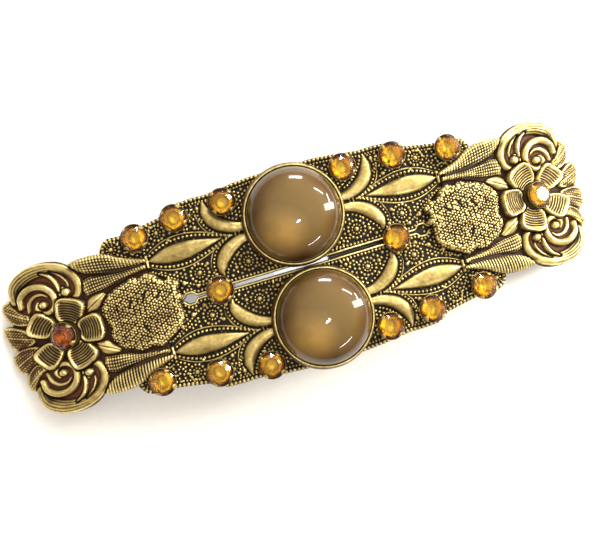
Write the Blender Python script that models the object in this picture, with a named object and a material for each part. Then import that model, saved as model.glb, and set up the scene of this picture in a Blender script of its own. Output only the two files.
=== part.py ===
"""Filigree hair barrette: two stamped brass strips side by side, a floral stamping across each end,
two domed cabochons in bezel cups, sixteen pronged crystals, and a sprung French clip behind.

Frame: X along the barrette, Y across it, +Z out of its decorated front. The origin is on the table
under its middle, with the closed clip standing on its feet. Sizes are in millimetres until new_object
turns them into metres.
"""

import math

import bmesh
import bpy
from mathutils import Matrix, Vector

MM = 0.001

# The arch that every sheet and strip follows, and the levels above or below it
ARCH_RADIUS = 160.0
END_BEND_FROM = 43.0      # past here the ends are bent down more
END_BEND = 0.012
SHEET_Z = 12.4            # underside of the filigree strips at the middle of the arch
GAP = 0.3                 # running clearance between separate pieces
SHEET = 0.5               # thickness of the stamped brass

# Filigree strips
STRIP_Y = 9.05            # axis of each strip from the barrette's axis
STRIP_OUTLINE = ((0, 8.6), (9, 8.55), (15, 8.3), (20, 7.9), (25.5, 6.5), (31, 5.6), (33.8, 4.6), (35, 2.8))
STRIP_CROWN = 0.35
RIM_WIDTH = 0.8           # raised border along both edges of a strip
RIM_RISE = 0.3
STRIP_STATIONS = 28
POD_X = (13.3, 27.6)
POD_HALF_WIDTH = 1.75
POD_TOP = 1.55
HORN_ARC = 5.6            # radius of the crescent horns' centre line
HORN_HALF_WIDTH = 0.95
HORN_TOP = 1.35

# Floral end stampings, which lie on the strips' ends
END_LEVEL = SHEET + STRIP_CROWN + GAP
FLOWER_X = 46.2
PETAL_REACH = 4.7
PETAL_ANGLES = (0, 66, -66, 135, -135)
PETAL_SIZE = (2.55, 2.35)
SCROLL_AT = (46.7, 7.2)
SCROLL_RADIUS = 6.65
SCROLL_TURN = (-35, 215)  # degrees from +X that the raised band sweeps
CURL_AT = (43.7, 8.1)
CURL_RADIUS = 1.5
TIP_LEAVES = (((50.9, 0.6), (57.2, 4.6), 1.9), ((50.9, 4.6), (55.7, 8.6), 1.6))
SPRAY_LEAVES = (
    ((26.9, 8.9), (41.3, 11.6), 1.75),
    ((28.2, 8.5), (40.8, 7.0), 1.35),
    ((31.0, 7.8), (41.0, 3.9), 1.2),
)
LEAF_SKEW = 1.3           # moves a leaf's widest place towards its tip
GRAIN_AT = (30.4, 0.0)
GRAIN_SIZE = (7.6, 6.6)

# Cabochons and their bezel cups
CAB_Y = 9.9
CAB_RADIUS = 8.95
CAB_HEIGHT = 6.3
BEZEL_RADIUS = 9.7
BEZEL_WALL = 0.45
BEZEL_HEIGHT = 2.3
BEZEL_LEVEL = SHEET + STRIP_CROWN + GAP
ROUND_SIDES = 28

# Crystals in pronged cups
CUP_RADIUS = 2.62
CUP_FOOT_RADIUS = 2.15
CUP_WALL = 0.24
CUP_HEIGHT = 1.75
CUP_SIDES = 16
PRONG_RISE = 0.5
PRONG_LEAN = 0.42
CRYSTAL_RADIUS = 2.3
CRYSTAL_TABLE = 1.3
CUP_LEVEL = SHEET + STRIP_CROWN + GAP
FLOWER_CUP_LEVEL = END_LEVEL + SHEET + GAP
EDGE_CRYSTALS = {
    "upper_left": ((-12.1, 15.5), (-21.3, 15.15), (-29.3, 13.7)),
    "upper_right": ((11.0, 15.6), (20.5, 15.1), (31.0, 13.55)),
    "lower_left": ((-11.8, -16.0), (-21.2, -14.6), (-31.2, -13.5)),
    "lower_right": ((11.3, -15.5), (19.7, -14.7), (30.6, -13.5)),
}
MIDDLE_CRYSTAL_X = 16.9

# French clip
CLIP_LEVEL = -GAP         # top of the clip's base below the strips
BASE_HALF_LENGTH = 40.0
BASE_HALF_WIDTH = 4.0
BASE_THICKNESS = 0.8
BASE_UNDER = CLIP_LEVEL - BASE_THICKNESS
PIVOT_X = -36.5
PIVOT_Z = 1.6
PIN_RADIUS = 0.6
PIN_HOLE = 0.78
EAR_THICKNESS = 0.7
EAR_HALF_LENGTH = 2.4
EYE_RADIUS = 1.35
ARM_HALF_WIDTH = 2.9
ARM_WAIST = 2.3
ARM_THICKNESS = 0.8
ARM_RISE = 0.4
HEAD_X = (31.9, 39.2)
HEAD_HALF_WIDTH = 3.9
SLOT_X = (32.9, 38.2)
SLOT_HALF_WIDTH = 2.75
CATCH_X = (33.2, 37.9)
CATCH_PLATE = 0.5
WING_Y = 2.1
WING_THICKNESS = 0.5
WING_TIP_Z = 0.35
WING_PAD_Z = (3.0, 3.5)
WING_PAD_REACH = 5.2
BARB_REACH = 0.25
STOP_X = (39.5, 40.1)
RIVET_X = 35.55
RIVET_RADIUS = 0.8
RIVET_CLEARANCE = 0.15
BOW_X = (-33.6, 29.0)
BOW_RIVET_X = -32.0
BOW_HALF_WIDTH = 2.4
BOW_THICKNESS = 0.3
BOW_SLOPE = 0.028         # how fast the bow parts from the base, which leaves its tip room to flex
BOW_RIVET_RADIUS = 0.6
TUBE_SIDES = 16

BRASS = ("antique_brass", (0.62, 0.47, 0.20), 0.38, 1.0)
AGATE = ("caramel_glass", (0.50, 0.30, 0.10), 0.08, 0.0)
AMBER = ("amber_crystal", (0.85, 0.42, 0.04), 0.05, 0.0)
NICKEL = ("nickel_steel", (0.72, 0.72, 0.74), 0.28, 1.0)


def clear_scene():
    for obj in list(bpy.data.objects):
        bpy.data.objects.remove(obj)


def material(look):
    name, colour, roughness, metallic = look
    made = bpy.data.materials.get(name) or bpy.data.materials.new(name)
    made.use_nodes = True
    shader = made.node_tree.nodes["Principled BSDF"]
    shader.inputs["Base Color"].default_value = (*colour, 1.0)
    shader.inputs["Roughness"].default_value = roughness
    shader.inputs["Metallic"].default_value = metallic
    return made


def drop(x):
    """How far the arch has fallen at x."""
    return ARCH_RADIUS - math.sqrt(ARCH_RADIUS**2 - x**2) + END_BEND * max(0, abs(x) - END_BEND_FROM) ** 2


def arch_z(x, level):
    return SHEET_Z - drop(x) + level


def between(table, x):
    """Smooth curve through a short table of (x, value) pairs."""
    x = min(max(x, table[0][0]), table[-1][0])
    for (x0, v0), (x1, v1) in zip(table, table[1:]):
        if x <= x1:
            t = (x - x0) / (x1 - x0)
            return v0 + (v1 - v0) * t * t * (3 - 2 * t)
    return table[-1][1]


def steps(low, high, count):
    return [low + (high - low) * i / (count - 1) for i in range(count)]


def loft(sections):
    """Closed solid through rings of the same number of points, capped at both ends."""
    bm = bmesh.new()
    rings = [[bm.verts.new(p) for p in ring] for ring in sections]
    size = len(rings[0])
    for first, second in zip(rings, rings[1:]):
        for i in range(size):
            j = (i + 1) % size
            bm.faces.new((first[i], first[j], second[j], second[i]))
    bm.faces.new(reversed(rings[0]))
    bm.faces.new(rings[-1])
    bmesh.ops.recalc_face_normals(bm, faces=bm.faces)
    return bm


def turned(profile, sides):
    """Closed solid of revolution about Z. The profile runs from one point on the axis to another."""
    bm = bmesh.new()
    rings = []
    for radius, z in profile:
        if radius == 0:
            rings.append([bm.verts.new((0, 0, z))])
            continue
        angles = [2 * math.pi * i / sides for i in range(sides)]
        rings.append([bm.verts.new((radius * math.cos(a), radius * math.sin(a), z)) for a in angles])
    for first, second in zip(rings, rings[1:]):
        for i in range(sides):
            j = (i + 1) % sides
            ring = [first[i % len(first)], first[j % len(first)], second[j % len(second)], second[i % len(second)]]
            corners = list(dict.fromkeys(ring))
            if len(corners) > 2:
                bm.faces.new(corners)
    bmesh.ops.recalc_face_normals(bm, faces=bm.faces)
    return bm


def tube_along_y(radius, half_length, sides=TUBE_SIDES):
    """Round bar about the Y axis."""
    bm = turned(((0, -half_length), (radius, -half_length), (radius, half_length), (0, half_length)), sides)
    bm.transform(Matrix.Rotation(math.radians(90), 4, "X"))
    return bm


def box(low, high):
    corners = [(low[0], low[1]), (high[0], low[1]), (high[0], high[1]), (low[0], high[1])]
    return loft([[(x, y, z) for x, y in corners] for z in (low[2], high[2])])


def arched_strip(x_range, half_width, top, thickness, stations):
    """Strip along the arch. half_width is a function of x, and top the level of its upper face."""
    sections = []
    for x in steps(*x_range, stations):
        w = half_width(x)
        high, low = arch_z(x, top(x)), arch_z(x, top(x) - thickness)
        sections.append([(x, -w, low), (x, w, low), (x, w, high), (x, -w, high)])
    return loft(sections)


def leaf_solid(base, tip, half_width, level, top, stations=7):
    """Lens-shaped leaf with a crowned top, from base to tip, following the arch."""
    axis = Vector((tip[0] - base[0], tip[1] - base[1]))
    side = Vector((-axis.y, axis.x)).normalized()
    sections = []
    for t in steps(0.02, 0.98, stations):
        w = half_width * math.sin(math.pi * t**LEAF_SKEW) ** 0.8
        ring = []
        for across, rise in ((-1, 0), (-0.55, 0.75), (0, 1), (0.55, 0.75), (1, 0)):
            p = Vector(base) + axis * t + side * w * across
            ring.append((p.x, p.y, arch_z(p.x, level + 0.25 + (top - level - 0.25) * rise * min(1, w / half_width))))
        for across in (1, -1):
            p = Vector(base) + axis * t + side * w * across
            ring.append((p.x, p.y, arch_z(p.x, level)))
        sections.append(ring)
    return loft(sections)


def dome_solid(centre, size, level, top, sides=16, rings=3, spin=0.0):
    """Oval dome on a straight skirt, following the arch."""
    bm = bmesh.new()
    rows = []
    shape = [(1.0, level), (1.0, level + 0.25)]
    shape += [(math.cos(a), level + 0.25 + (top - level - 0.25) * math.sin(a)) for a in
              (math.pi / 2 * k / rings for k in range(1, rings))]
    for share, height in shape:
        row = []
        for i in range(sides):
            a = 2 * math.pi * i / sides
            p = Matrix.Rotation(spin, 2) @ Vector((size[0] * share * math.cos(a), size[1] * share * math.sin(a)))
            x = centre[0] + p.x
            row.append(bm.verts.new((x, centre[1] + p.y, arch_z(x, height))))
        rows.append(row)
    crown = bm.verts.new((centre[0], centre[1], arch_z(centre[0], top)))
    for first, second in zip(rows, rows[1:]):
        for i in range(sides):
            j = (i + 1) % sides
            bm.faces.new((first[i], first[j], second[j], second[i]))
    for i in range(sides):
        bm.faces.new((rows[-1][i], rows[-1][(i + 1) % sides], crown))
    bm.faces.new(reversed(rows[0]))
    bmesh.ops.recalc_face_normals(bm, faces=bm.faces)
    return bm


def new_object(name, bm, look, location=(0, 0, 0), rotation=None, mesh=None):
    """One named part in metres. A mesh given again is shared."""
    if mesh is None:
        bmesh.ops.scale(bm, vec=(MM, MM, MM), verts=bm.verts)
        mesh = bpy.data.meshes.new(name)
        bm.to_mesh(mesh)
        bm.free()
        mesh.materials.append(material(look))
        mesh.shade_smooth()
        mesh.set_sharp_from_angle(angle=math.radians(35))
    obj = bpy.data.objects.new(name, mesh)
    bpy.context.scene.collection.objects.link(obj)
    obj.location = Vector(location) * MM
    if rotation is not None:
        obj.rotation_euler = rotation.to_euler()
    return obj


def helper(name, bm):
    """Hidden solid that a Boolean joins or cuts."""
    obj = new_object(name, bm, BRASS)
    obj.hide_render = True
    obj.display_type = "WIRE"
    return obj


def boolean(obj, operation, name, solids):
    """Joins or cuts all the given solids at once."""
    group = bpy.data.collections.new(name)
    for index, bm in enumerate(solids):
        other = helper(f"{name}_{index}", bm)
        bpy.context.scene.collection.objects.unlink(other)
        group.objects.link(other)
    bpy.context.scene.collection.children.link(group)
    group.hide_render = True
    modifier = obj.modifiers.new(name, "BOOLEAN")
    modifier.operation = operation
    modifier.operand_type = "COLLECTION"
    modifier.collection = group
    modifier.solver = "EXACT"
    return obj


def mirrored(bm, axis):
    """Copy reflected across the plane normal to this axis, with its faces still pointing out."""
    copy = bm.copy()
    scale = [1, 1, 1]
    scale[axis] = -1
    bmesh.ops.scale(copy, vec=scale, verts=copy.verts)
    bmesh.ops.reverse_faces(copy, faces=copy.faces)
    return copy


def horn_solid(side):
    """Crescent that springs from beside the bezel and curls away from the strip's axis."""
    centre = Vector((10.4, side * (HORN_ARC + 1.0)))
    sections = []
    for t in steps(0.04, 0.96, 8):
        turn = math.radians(-78 + 88 * t) * side
        w = HORN_HALF_WIDTH * math.sin(math.pi * t) ** 0.6
        ring = []
        for across, rise in ((-1, 0.0), (0, 1.0), (1, 0.0)):
            r = HORN_ARC + w * across
            p = centre + Vector((r * math.cos(turn), r * math.sin(turn)))
            height = STRIP_CROWN + 0.2 + (HORN_TOP - STRIP_CROWN - 0.2) * rise * min(1, 1.4 * w)
            ring.append((p.x, p.y, arch_z(p.x, height)))
        for across in (1, -1):
            r = HORN_ARC + w * across
            p = centre + Vector((r * math.cos(turn), r * math.sin(turn)))
            ring.append((p.x, p.y, arch_z(p.x, 0.12)))
        sections.append(ring)
    return loft(sections)


def strip(name, side):
    """Marquise-ended filigree strip with a pod and a pair of horns on each side of its bezel."""
    def section(x):
        w = between(STRIP_OUTLINE, abs(x))
        field = w - RIM_WIDTH
        flat = [(x, -w, arch_z(x, 0)), (x, w, arch_z(x, 0))]
        rim = [(w, SHEET), (w - RIM_WIDTH / 2, SHEET + RIM_RISE), (field, SHEET)]
        crown = [(field * k, SHEET + STRIP_CROWN * (1 - k * k)) for k in (0.5, 0, -0.5)]
        upper = rim + crown + [(-y, z) for y, z in reversed(rim)]
        return flat + [(x, y, arch_z(x, z)) for y, z in upper]

    bm = loft([section(x) for x in steps(-35, 35, STRIP_STATIONS + 1)])
    pod = leaf_solid((POD_X[0], 0), (POD_X[1], 0), POD_HALF_WIDTH, 0.15, POD_TOP)
    raised = [pod, horn_solid(1), horn_solid(-1)]
    raised += [mirrored(part, 0) for part in raised]
    for part in (bm, *raised):
        bmesh.ops.translate(part, vec=(0, side * STRIP_Y, 0), verts=part.verts)
    return boolean(new_object(name, bm, BRASS), "UNION", name + "_relief", raised)


def scroll_ridge(centre, side):
    """Raised C-shaped band near the rim of a scroll lobe, swelling towards its back."""
    sections = []
    for t in steps(0, 1, 14):
        turn = side * math.radians(SCROLL_TURN[0] + (SCROLL_TURN[1] - SCROLL_TURN[0]) * t)
        w = 0.25 + 0.85 * math.sin(math.pi * t)
        middle = SCROLL_RADIUS - 1.6
        ring = []
        for across, level in ((-1, 0.2), (-0.6, 1.1), (0, 1.45), (0.6, 1.1), (1, 0.2)):
            r = middle + w * across
            x = centre[0] + r * math.cos(turn)
            ring.append((x, centre[1] + r * math.sin(turn), arch_z(x, END_LEVEL + level)))
        sections.append(ring)
    return loft(sections)


def end_parts():
    """The raised parts of the right end's floral stamping, above one backing sheet."""
    low = END_LEVEL
    inside = low + 0.12
    parts = []
    for side in (1, -1):
        centre = (SCROLL_AT[0], SCROLL_AT[1] * side)
        parts.append(dome_solid(centre, (SCROLL_RADIUS, SCROLL_RADIUS), low + 0.03 * side, low + 0.8, 20))
        parts.append(scroll_ridge(centre, side))
        curl = (CURL_AT[0], CURL_AT[1] * side)
        parts.append(dome_solid(curl, (CURL_RADIUS, CURL_RADIUS), low + 0.15, low + 1.7, 10))
        for index, (base, tip, w) in enumerate(TIP_LEAVES + SPRAY_LEAVES):
            level = low + 0.05 + 0.02 * index
            parts.append(leaf_solid((base[0], base[1] * side), (tip[0], tip[1] * side), w, level, low + 1.2))
    for angle in PETAL_ANGLES:
        a = math.radians(180 - angle)
        centre = (FLOWER_X + PETAL_REACH * math.cos(a), PETAL_REACH * math.sin(a))
        parts.append(dome_solid(centre, PETAL_SIZE, inside, low + 1.85, 10, spin=a))
    parts.append(dome_solid(GRAIN_AT, GRAIN_SIZE, low + 0.09, low + 1.7, 18))
    return parts


def end_stamping(name, side):
    """Floral stamping: two scroll lobes, a five-petalled flower, tip leaves, leaf sprays and a grained leaf."""
    plate_outline = ((34.0, 5.5), (38.0, 9.5), (41.0, 9.0), (47.0, 8.0), (51.0, 5.5))
    plate = arched_strip((34.0, 51.0), lambda x: between(plate_outline, x), lambda x: END_LEVEL + SHEET, SHEET, 9)
    seat = turned(((0, -1), (CUP_FOOT_RADIUS + 0.75, -1), (CUP_FOOT_RADIUS + 0.95, 3), (0, 3)), 14)
    tilt = normal_at(FLOWER_X)
    seat.transform(Matrix.Translation((FLOWER_X, 0, arch_z(FLOWER_X, END_LEVEL + SHEET + 1.0))) @ tilt.to_matrix().to_4x4())
    parts = end_parts()
    if side < 0:
        plate, seat = mirrored(plate, 0), mirrored(seat, 0)
        parts = [mirrored(part, 0) for part in parts]
    obj = boolean(new_object(name, plate, BRASS), "UNION", name + "_relief", parts)
    return boolean(obj, "DIFFERENCE", name + "_seat", [seat])


def tilt_at(x):
    """Angle of the arch's normal from the vertical at x, towards +X."""
    bend = 2 * END_BEND * max(0, abs(x) - END_BEND_FROM)
    return math.atan(math.tan(math.asin(x / ARCH_RADIUS)) + math.copysign(bend, x))


def normal_at(x):
    """Rotation that turns +Z to the arch's normal at x."""
    return Matrix.Rotation(tilt_at(x), 3, "Y").to_quaternion()


def on_arch(x, y, level):
    """Point at this height along the arch's normal, over the point of the arch at x, y."""
    tilt = tilt_at(x)
    return (x + level * math.sin(tilt), y, arch_z(x, 0) + level * math.cos(tilt))


def cabochon_setting(name, side):
    """Bezel cup and the domed stone in it."""
    r, wall = BEZEL_RADIUS, BEZEL_WALL
    cup = turned(
        ((0, 0), (r - 0.3, 0), (r, 0.3), (r, BEZEL_HEIGHT - 0.3), (r - 0.25, BEZEL_HEIGHT),
         (r - wall, BEZEL_HEIGHT), (r - wall, 0.45), (0, 0.45)), ROUND_SIDES)
    place = (0, side * CAB_Y, arch_z(0, BEZEL_LEVEL))
    new_object("bezel_" + name, cup, BRASS, place)
    girdle = 1.1
    dome = [(CAB_RADIUS * math.cos(a), girdle + (CAB_HEIGHT - girdle) * math.sin(a))
            for a in (math.pi / 2 * k / 6 for k in range(6))]
    stone = turned([(0, 0), (CAB_RADIUS - 0.25, 0), *dome, (0, CAB_HEIGHT)], ROUND_SIDES)
    new_object("cabochon_" + name, stone, AGATE, (place[0], place[1], place[2] + 0.45 + 0.15))


def cup_solid():
    """Round cup with four prongs that rise from its rim and lean over the stone."""
    r, wall, top = CUP_RADIUS, CUP_WALL, CUP_HEIGHT
    bm = turned(((0, 0), (CUP_FOOT_RADIUS, 0), (r, 0.8), (r, top), (r - wall, top), (r - wall, 0.8),
                 (CUP_FOOT_RADIUS - wall, 0.25), (0, 0.25)), CUP_SIDES)
    rim = [f for f in bm.faces if f.normal.z > 0.9 and f.calc_center_median().z > top - 0.01]
    rim.sort(key=lambda f: math.atan2(f.calc_center_median().y, f.calc_center_median().x))
    for face in rim[1::CUP_SIDES // 4]:
        made = bmesh.ops.extrude_face_region(bm, geom=[face])["geom"]
        for vert in (v for v in made if isinstance(v, bmesh.types.BMVert)):
            inward = 1 - PRONG_LEAN / Vector((vert.co.x, vert.co.y)).length
            vert.co = (vert.co.x * inward, vert.co.y * inward, vert.co.z + PRONG_RISE)
        bmesh.ops.delete(bm, geom=[face], context="FACES_ONLY")
    bmesh.ops.recalc_face_normals(bm, faces=bm.faces)
    return bm


def crystal_solid():
    """Faceted chaton: octagonal table, sixteen-sided girdle and a pointed back."""
    bm = bmesh.new()
    girdle_low, girdle_high, crown = 1.2, 1.4, 2.15
    culet = bm.verts.new((0, 0, 0))

    def ring(radius, z, sides, turn=0.0):
        angles = [2 * math.pi * (i + turn) / sides for i in range(sides)]
        return [bm.verts.new((radius * math.cos(a), radius * math.sin(a), z)) for a in angles]

    low, high = ring(CRYSTAL_RADIUS, girdle_low, 16), ring(CRYSTAL_RADIUS, girdle_high, 16)
    table = ring(CRYSTAL_TABLE, crown, 8)
    for i in range(16):
        j = (i + 1) % 16
        bm.faces.new((culet, low[j], low[i]))
        bm.faces.new((low[i], low[j], high[j], high[i]))
    for i in range(8):
        a, b = table[i], table[(i + 1) % 8]
        left, point, right = high[2 * i], high[2 * i + 1], high[(2 * i + 2) % 16]
        bm.faces.new((a, left, point))
        bm.faces.new((a, point, b))
        bm.faces.new((b, point, right))
    bm.faces.new(table)
    bmesh.ops.recalc_face_normals(bm, faces=bm.faces)
    return bm


def crystal_places():
    """(name, x, y, level of the cup's foot) of every small stone."""
    places = []
    for corner, spots in EDGE_CRYSTALS.items():
        places += [(f"{corner}_{n}", x, y, CUP_LEVEL) for n, (x, y) in enumerate(spots, 1)]
    for side, sign in (("left", -1), ("right", 1)):
        places.append((f"middle_{side}", sign * MIDDLE_CRYSTAL_X, 0, CUP_LEVEL))
        places.append((f"flower_{side}", sign * FLOWER_X, 0, FLOWER_CUP_LEVEL))
    return places


def crystals():
    cup_mesh = crystal_mesh = None
    for name, x, y, level in crystal_places():
        turn = normal_at(x)
        cup = new_object("cup_" + name, cup_solid() if cup_mesh is None else None, BRASS,
                         on_arch(x, y, level), turn, cup_mesh)
        stone = new_object("crystal_" + name, crystal_solid() if crystal_mesh is None else None, AMBER,
                           on_arch(x, y, level + 0.42), turn, crystal_mesh)
        cup_mesh, crystal_mesh = cup.data, stone.data


def clip_base():
    """Arched steel bar with two ears down at the hinge end and a rivet hole at the catch end."""
    def half_width(x):
        return BASE_HALF_WIDTH - 1.2 * max(0, (abs(x) - 37.5) / 2.5) ** 2

    bar = arched_strip((-BASE_HALF_LENGTH, BASE_HALF_LENGTH), half_width, lambda x: CLIP_LEVEL, BASE_THICKNESS, 25)
    obj = new_object("clip_base", bar, NICKEL)
    ears = []
    for side in (1, -1):
        inner, outer = side * (BASE_HALF_WIDTH - EAR_THICKNESS), side * (BASE_HALF_WIDTH - 0.02)
        low = (PIVOT_X - EAR_HALF_LENGTH, min(inner, outer), 0)
        high = (PIVOT_X + EAR_HALF_LENGTH, max(inner, outer), arch_z(PIVOT_X - EAR_HALF_LENGTH, BASE_UNDER + 0.3))
        ears.append(box(low, high))
    boolean(obj, "UNION", "ears", ears)
    holes = [rivet_hole(RIVET_X, RIVET_RADIUS), rivet_hole(BOW_RIVET_X, BOW_RIVET_RADIUS)]
    boolean(obj, "DIFFERENCE", "base_holes", [at_pivot(tube_along_y(PIN_HOLE, 6)), *holes])


def rivet_hole(x, radius):
    bm = turned(((0, -4), (radius + RIVET_CLEARANCE, -4), (radius + RIVET_CLEARANCE, 2), (0, 2)), TUBE_SIDES)
    bm.transform(Matrix.Translation(on_arch(x, 0, CLIP_LEVEL)) @ normal_at(x).to_matrix().to_4x4())
    return bm


def rivet(name, x, radius, sheet):
    """Rivet flush with the base's top, whose head holds a sheet of this thickness under the base."""
    reach = BASE_THICKNESS + GAP + sheet + RIVET_CLEARANCE
    head = radius + 0.5
    bm = turned(((0, -reach - 0.5), (head, -reach - 0.5), (head, -reach), (radius, -reach), (radius, 0), (0, 0)),
                TUBE_SIDES)
    new_object(name, bm, NICKEL, on_arch(x, 0, CLIP_LEVEL), normal_at(x))


def at_pivot(bm):
    bm.transform(Matrix.Translation((PIVOT_X, 0, PIVOT_Z)))
    return bm


def hinge_pin():
    """Headed pin through the ears and the arm's eye."""
    half = BASE_HALF_WIDTH + 0.1
    head = PIN_RADIUS + 0.5
    bm = turned(((0, -half - 0.5), (head, -half - 0.5), (head, -half), (PIN_RADIUS, -half), (PIN_RADIUS, half),
                 (head, half), (head, half + 0.5), (0, half + 0.5)), TUBE_SIDES)
    bm.transform(Matrix.Rotation(math.radians(90), 4, "X"))
    new_object("hinge_pin", bm, NICKEL, (PIVOT_X, 0, PIVOT_Z))


def clasp_arm():
    """Sprung lever: rolled eye round the pin, a waisted blade, and a slotted head that snaps over the catch."""
    def half_width(x):
        t = (x - PIVOT_X) / (HEAD_X[0] - PIVOT_X)
        return ARM_WAIST + (ARM_HALF_WIDTH - ARM_WAIST) * abs(1 - 2 * t) ** 2

    def section(x, w):
        middle = PIVOT_Z + ARM_RISE * (1 - (x / PIVOT_X) ** 2)
        low, high = middle - ARM_THICKNESS / 2, middle + ARM_THICKNESS / 2
        return [(x, -w, low), (x, w, low), (x, w, high), (x, -w, high)]

    blade_end = HEAD_X[0] + 0.6
    blade = loft([section(x, half_width(x)) for x in steps(PIVOT_X + 0.2, blade_end, 15)])
    blade.transform(Matrix.Translation((-PIVOT_X, 0, -PIVOT_Z)))
    obj = new_object("clasp_arm", blade, NICKEL, (PIVOT_X, 0, PIVOT_Z))
    thick = ARM_THICKNESS / 2 - 0.01
    head = box((HEAD_X[0], -HEAD_HALF_WIDTH, PIVOT_Z - thick), (HEAD_X[1], HEAD_HALF_WIDTH, PIVOT_Z + thick))
    slot = box((SLOT_X[0], -SLOT_HALF_WIDTH, -2), (SLOT_X[1], SLOT_HALF_WIDTH, 5))
    boolean(obj, "UNION", "eye_and_head", [at_pivot(tube_along_y(EYE_RADIUS, ARM_HALF_WIDTH - 0.02)), head])
    boolean(obj, "DIFFERENCE", "arm_holes", [at_pivot(tube_along_y(PIN_HOLE, 6)), slot])


def catch():
    """Spring-steel catch under the base: a riveted plate with an end stop, and two wings to squeeze."""
    level = BASE_UNDER - GAP
    plate_x = (CATCH_X[0], STOP_X[1])
    half = WING_Y - WING_THICKNESS / 2 - 0.15
    plate = arched_strip(plate_x, lambda x: half, lambda x: level, CATCH_PLATE, 5)
    obj = new_object("catch_plate", plate, NICKEL)
    stop = box((STOP_X[0], -half + 0.01, 0), (STOP_X[1] - 0.01, half - 0.01, arch_z(STOP_X[1], level - 0.2)))
    boolean(obj, "UNION", "stop", [stop])
    boolean(obj, "DIFFERENCE", "plate_hole", [rivet_hole(RIVET_X, RIVET_RADIUS)])
    rivet("catch_rivet", RIVET_X, RIVET_RADIUS, CATCH_PLATE)
    top = arch_z(CATCH_X[1], level - CATCH_PLATE) - 0.1
    for name, side in (("catch_wing_rear", 1), ("catch_wing_front", -1)):
        inner, outer = WING_Y - WING_THICKNESS / 2, WING_Y + WING_THICKNESS / 2
        outline = [
            (inner, WING_TIP_Z), (outer, WING_TIP_Z), (outer + BARB_REACH, WING_TIP_Z + 0.35),
            (outer, WING_TIP_Z + 0.6), (outer, WING_PAD_Z[0]), (WING_PAD_REACH, WING_PAD_Z[0] - 0.3),
            (WING_PAD_REACH, WING_PAD_Z[1] - 0.1), (outer, WING_PAD_Z[1] + 0.2), (outer, top), (inner, top),
        ]
        wing = loft([[(x - RIVET_X, side * (y - WING_Y), z - top) for y, z in outline] for x in CATCH_X])
        new_object(name, wing, NICKEL, (RIVET_X, side * WING_Y, top))


def tension_bow():
    """Thin spring strip that presses the hair on the arm. A rivet holds it at the hinge end."""
    def level(x):
        return BASE_UNDER - GAP - BOW_SLOPE * (x - BOW_X[0])

    def half_width(x):
        middle, reach = (BOW_X[0] + BOW_X[1]) / 2, (BOW_X[1] - BOW_X[0]) / 2
        return BOW_HALF_WIDTH - 0.9 * max(0, (abs(x - middle) - reach + 3.5) / 3.5) ** 2

    bow = arched_strip(BOW_X, half_width, level, BOW_THICKNESS, 21)
    root = (BOW_RIVET_X, 0, arch_z(BOW_RIVET_X, level(BOW_RIVET_X)))
    bow.transform(Matrix.Translation([-c for c in root]))
    obj = new_object("tension_bow", bow, NICKEL, root)
    boolean(obj, "DIFFERENCE", "bow_hole", [rivet_hole(BOW_RIVET_X, BOW_RIVET_RADIUS)])
    rivet("bow_rivet", BOW_RIVET_X, BOW_RIVET_RADIUS, BOW_THICKNESS + 0.1)


def build():
    clear_scene()
    strip("strip_upper", 1)
    strip("strip_lower", -1)
    end_stamping("end_stamping_right", 1)
    end_stamping("end_stamping_left", -1)
    cabochon_setting("upper", 1)
    cabochon_setting("lower", -1)
    crystals()
    clip_base()
    hinge_pin()
    clasp_arm()
    tension_bow()
    catch()


build()
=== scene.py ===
"""Looks for the filigree barrette: stamped relief, stones, cups, finishes, light and camera.

Lengths are in millimetres until make_object turns them into metres. A relief is worked out in a flat sheet's
own plane, u along the barrette from its middle and v across it, and then laid on the arch. Both halves of a
sheet share one relief, mirrored.
"""

import math

import bpy
import numpy as np
from mathutils import Matrix, Vector


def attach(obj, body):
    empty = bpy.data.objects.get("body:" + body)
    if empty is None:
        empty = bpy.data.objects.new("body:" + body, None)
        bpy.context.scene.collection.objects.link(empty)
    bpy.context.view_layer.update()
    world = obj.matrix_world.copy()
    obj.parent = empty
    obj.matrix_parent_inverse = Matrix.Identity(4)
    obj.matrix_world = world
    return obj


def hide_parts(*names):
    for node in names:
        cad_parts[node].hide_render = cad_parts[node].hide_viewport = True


MM = 0.001

# The arch, as in the part's source
ARCH_RADIUS = 160.0
END_BEND_FROM = 43.0  # beyond this the ends turn down faster than the arch
END_BEND = 0.012
SHEET_Z = 12.4  # underside of the strips at the middle

# Heights above the arch
SHEET_THICKNESS = 0.38
STONE_LEVEL = 1.15  # foot of the bezels and of the cups along the edges
FLOWER_CUP_LEVEL = 1.95
END_LEVEL = 1.15  # underside of the end stampings
CAB_SEAT = 0.6  # the stones sit this far up inside their cups
CRYSTAL_SEAT = 0.42

STRIP_Y = 8.75
CAB_Y = 9.9
CAB_RADIUS = 8.95
CAB_HEIGHT = 6.3
CAB_GIRDLE = 1.1  # the dome starts here, above a short upright wall
DOME_POWER = 0.92  # below 1 the dome is fuller than an ellipse
CRYSTAL_RADIUS = 2.4
FLOWER_X = 46.2
CAB_SHIFT = (-0.25, -0.35)  # the stones sit a little off the strips' axes

EDGE_STONES = {
    "upper_left": ((-12.1, 15.5), (-21.3, 15.15), (-29.1, 13.7)),
    "upper_right": ((10.85, 15.5), (20.5, 15.1), (31.3, 13.6)),
    "lower_left": ((-11.8, -16.0), (-21.2, -14.6), (-31.6, -13.3)),
    "lower_right": ((11.2, -15.5), (19.7, -14.7), (30.7, -13.5)),
}
MIDDLE_STONE_X = 16.9


# ---------------------------------------------------------------- the arch


def drop(x):
    """How far the arch has come down from its top at this x."""
    bend = END_BEND * np.maximum(0, np.abs(x) - END_BEND_FROM) ** 2
    return ARCH_RADIUS - np.sqrt(ARCH_RADIUS**2 - x**2) + bend


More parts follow.
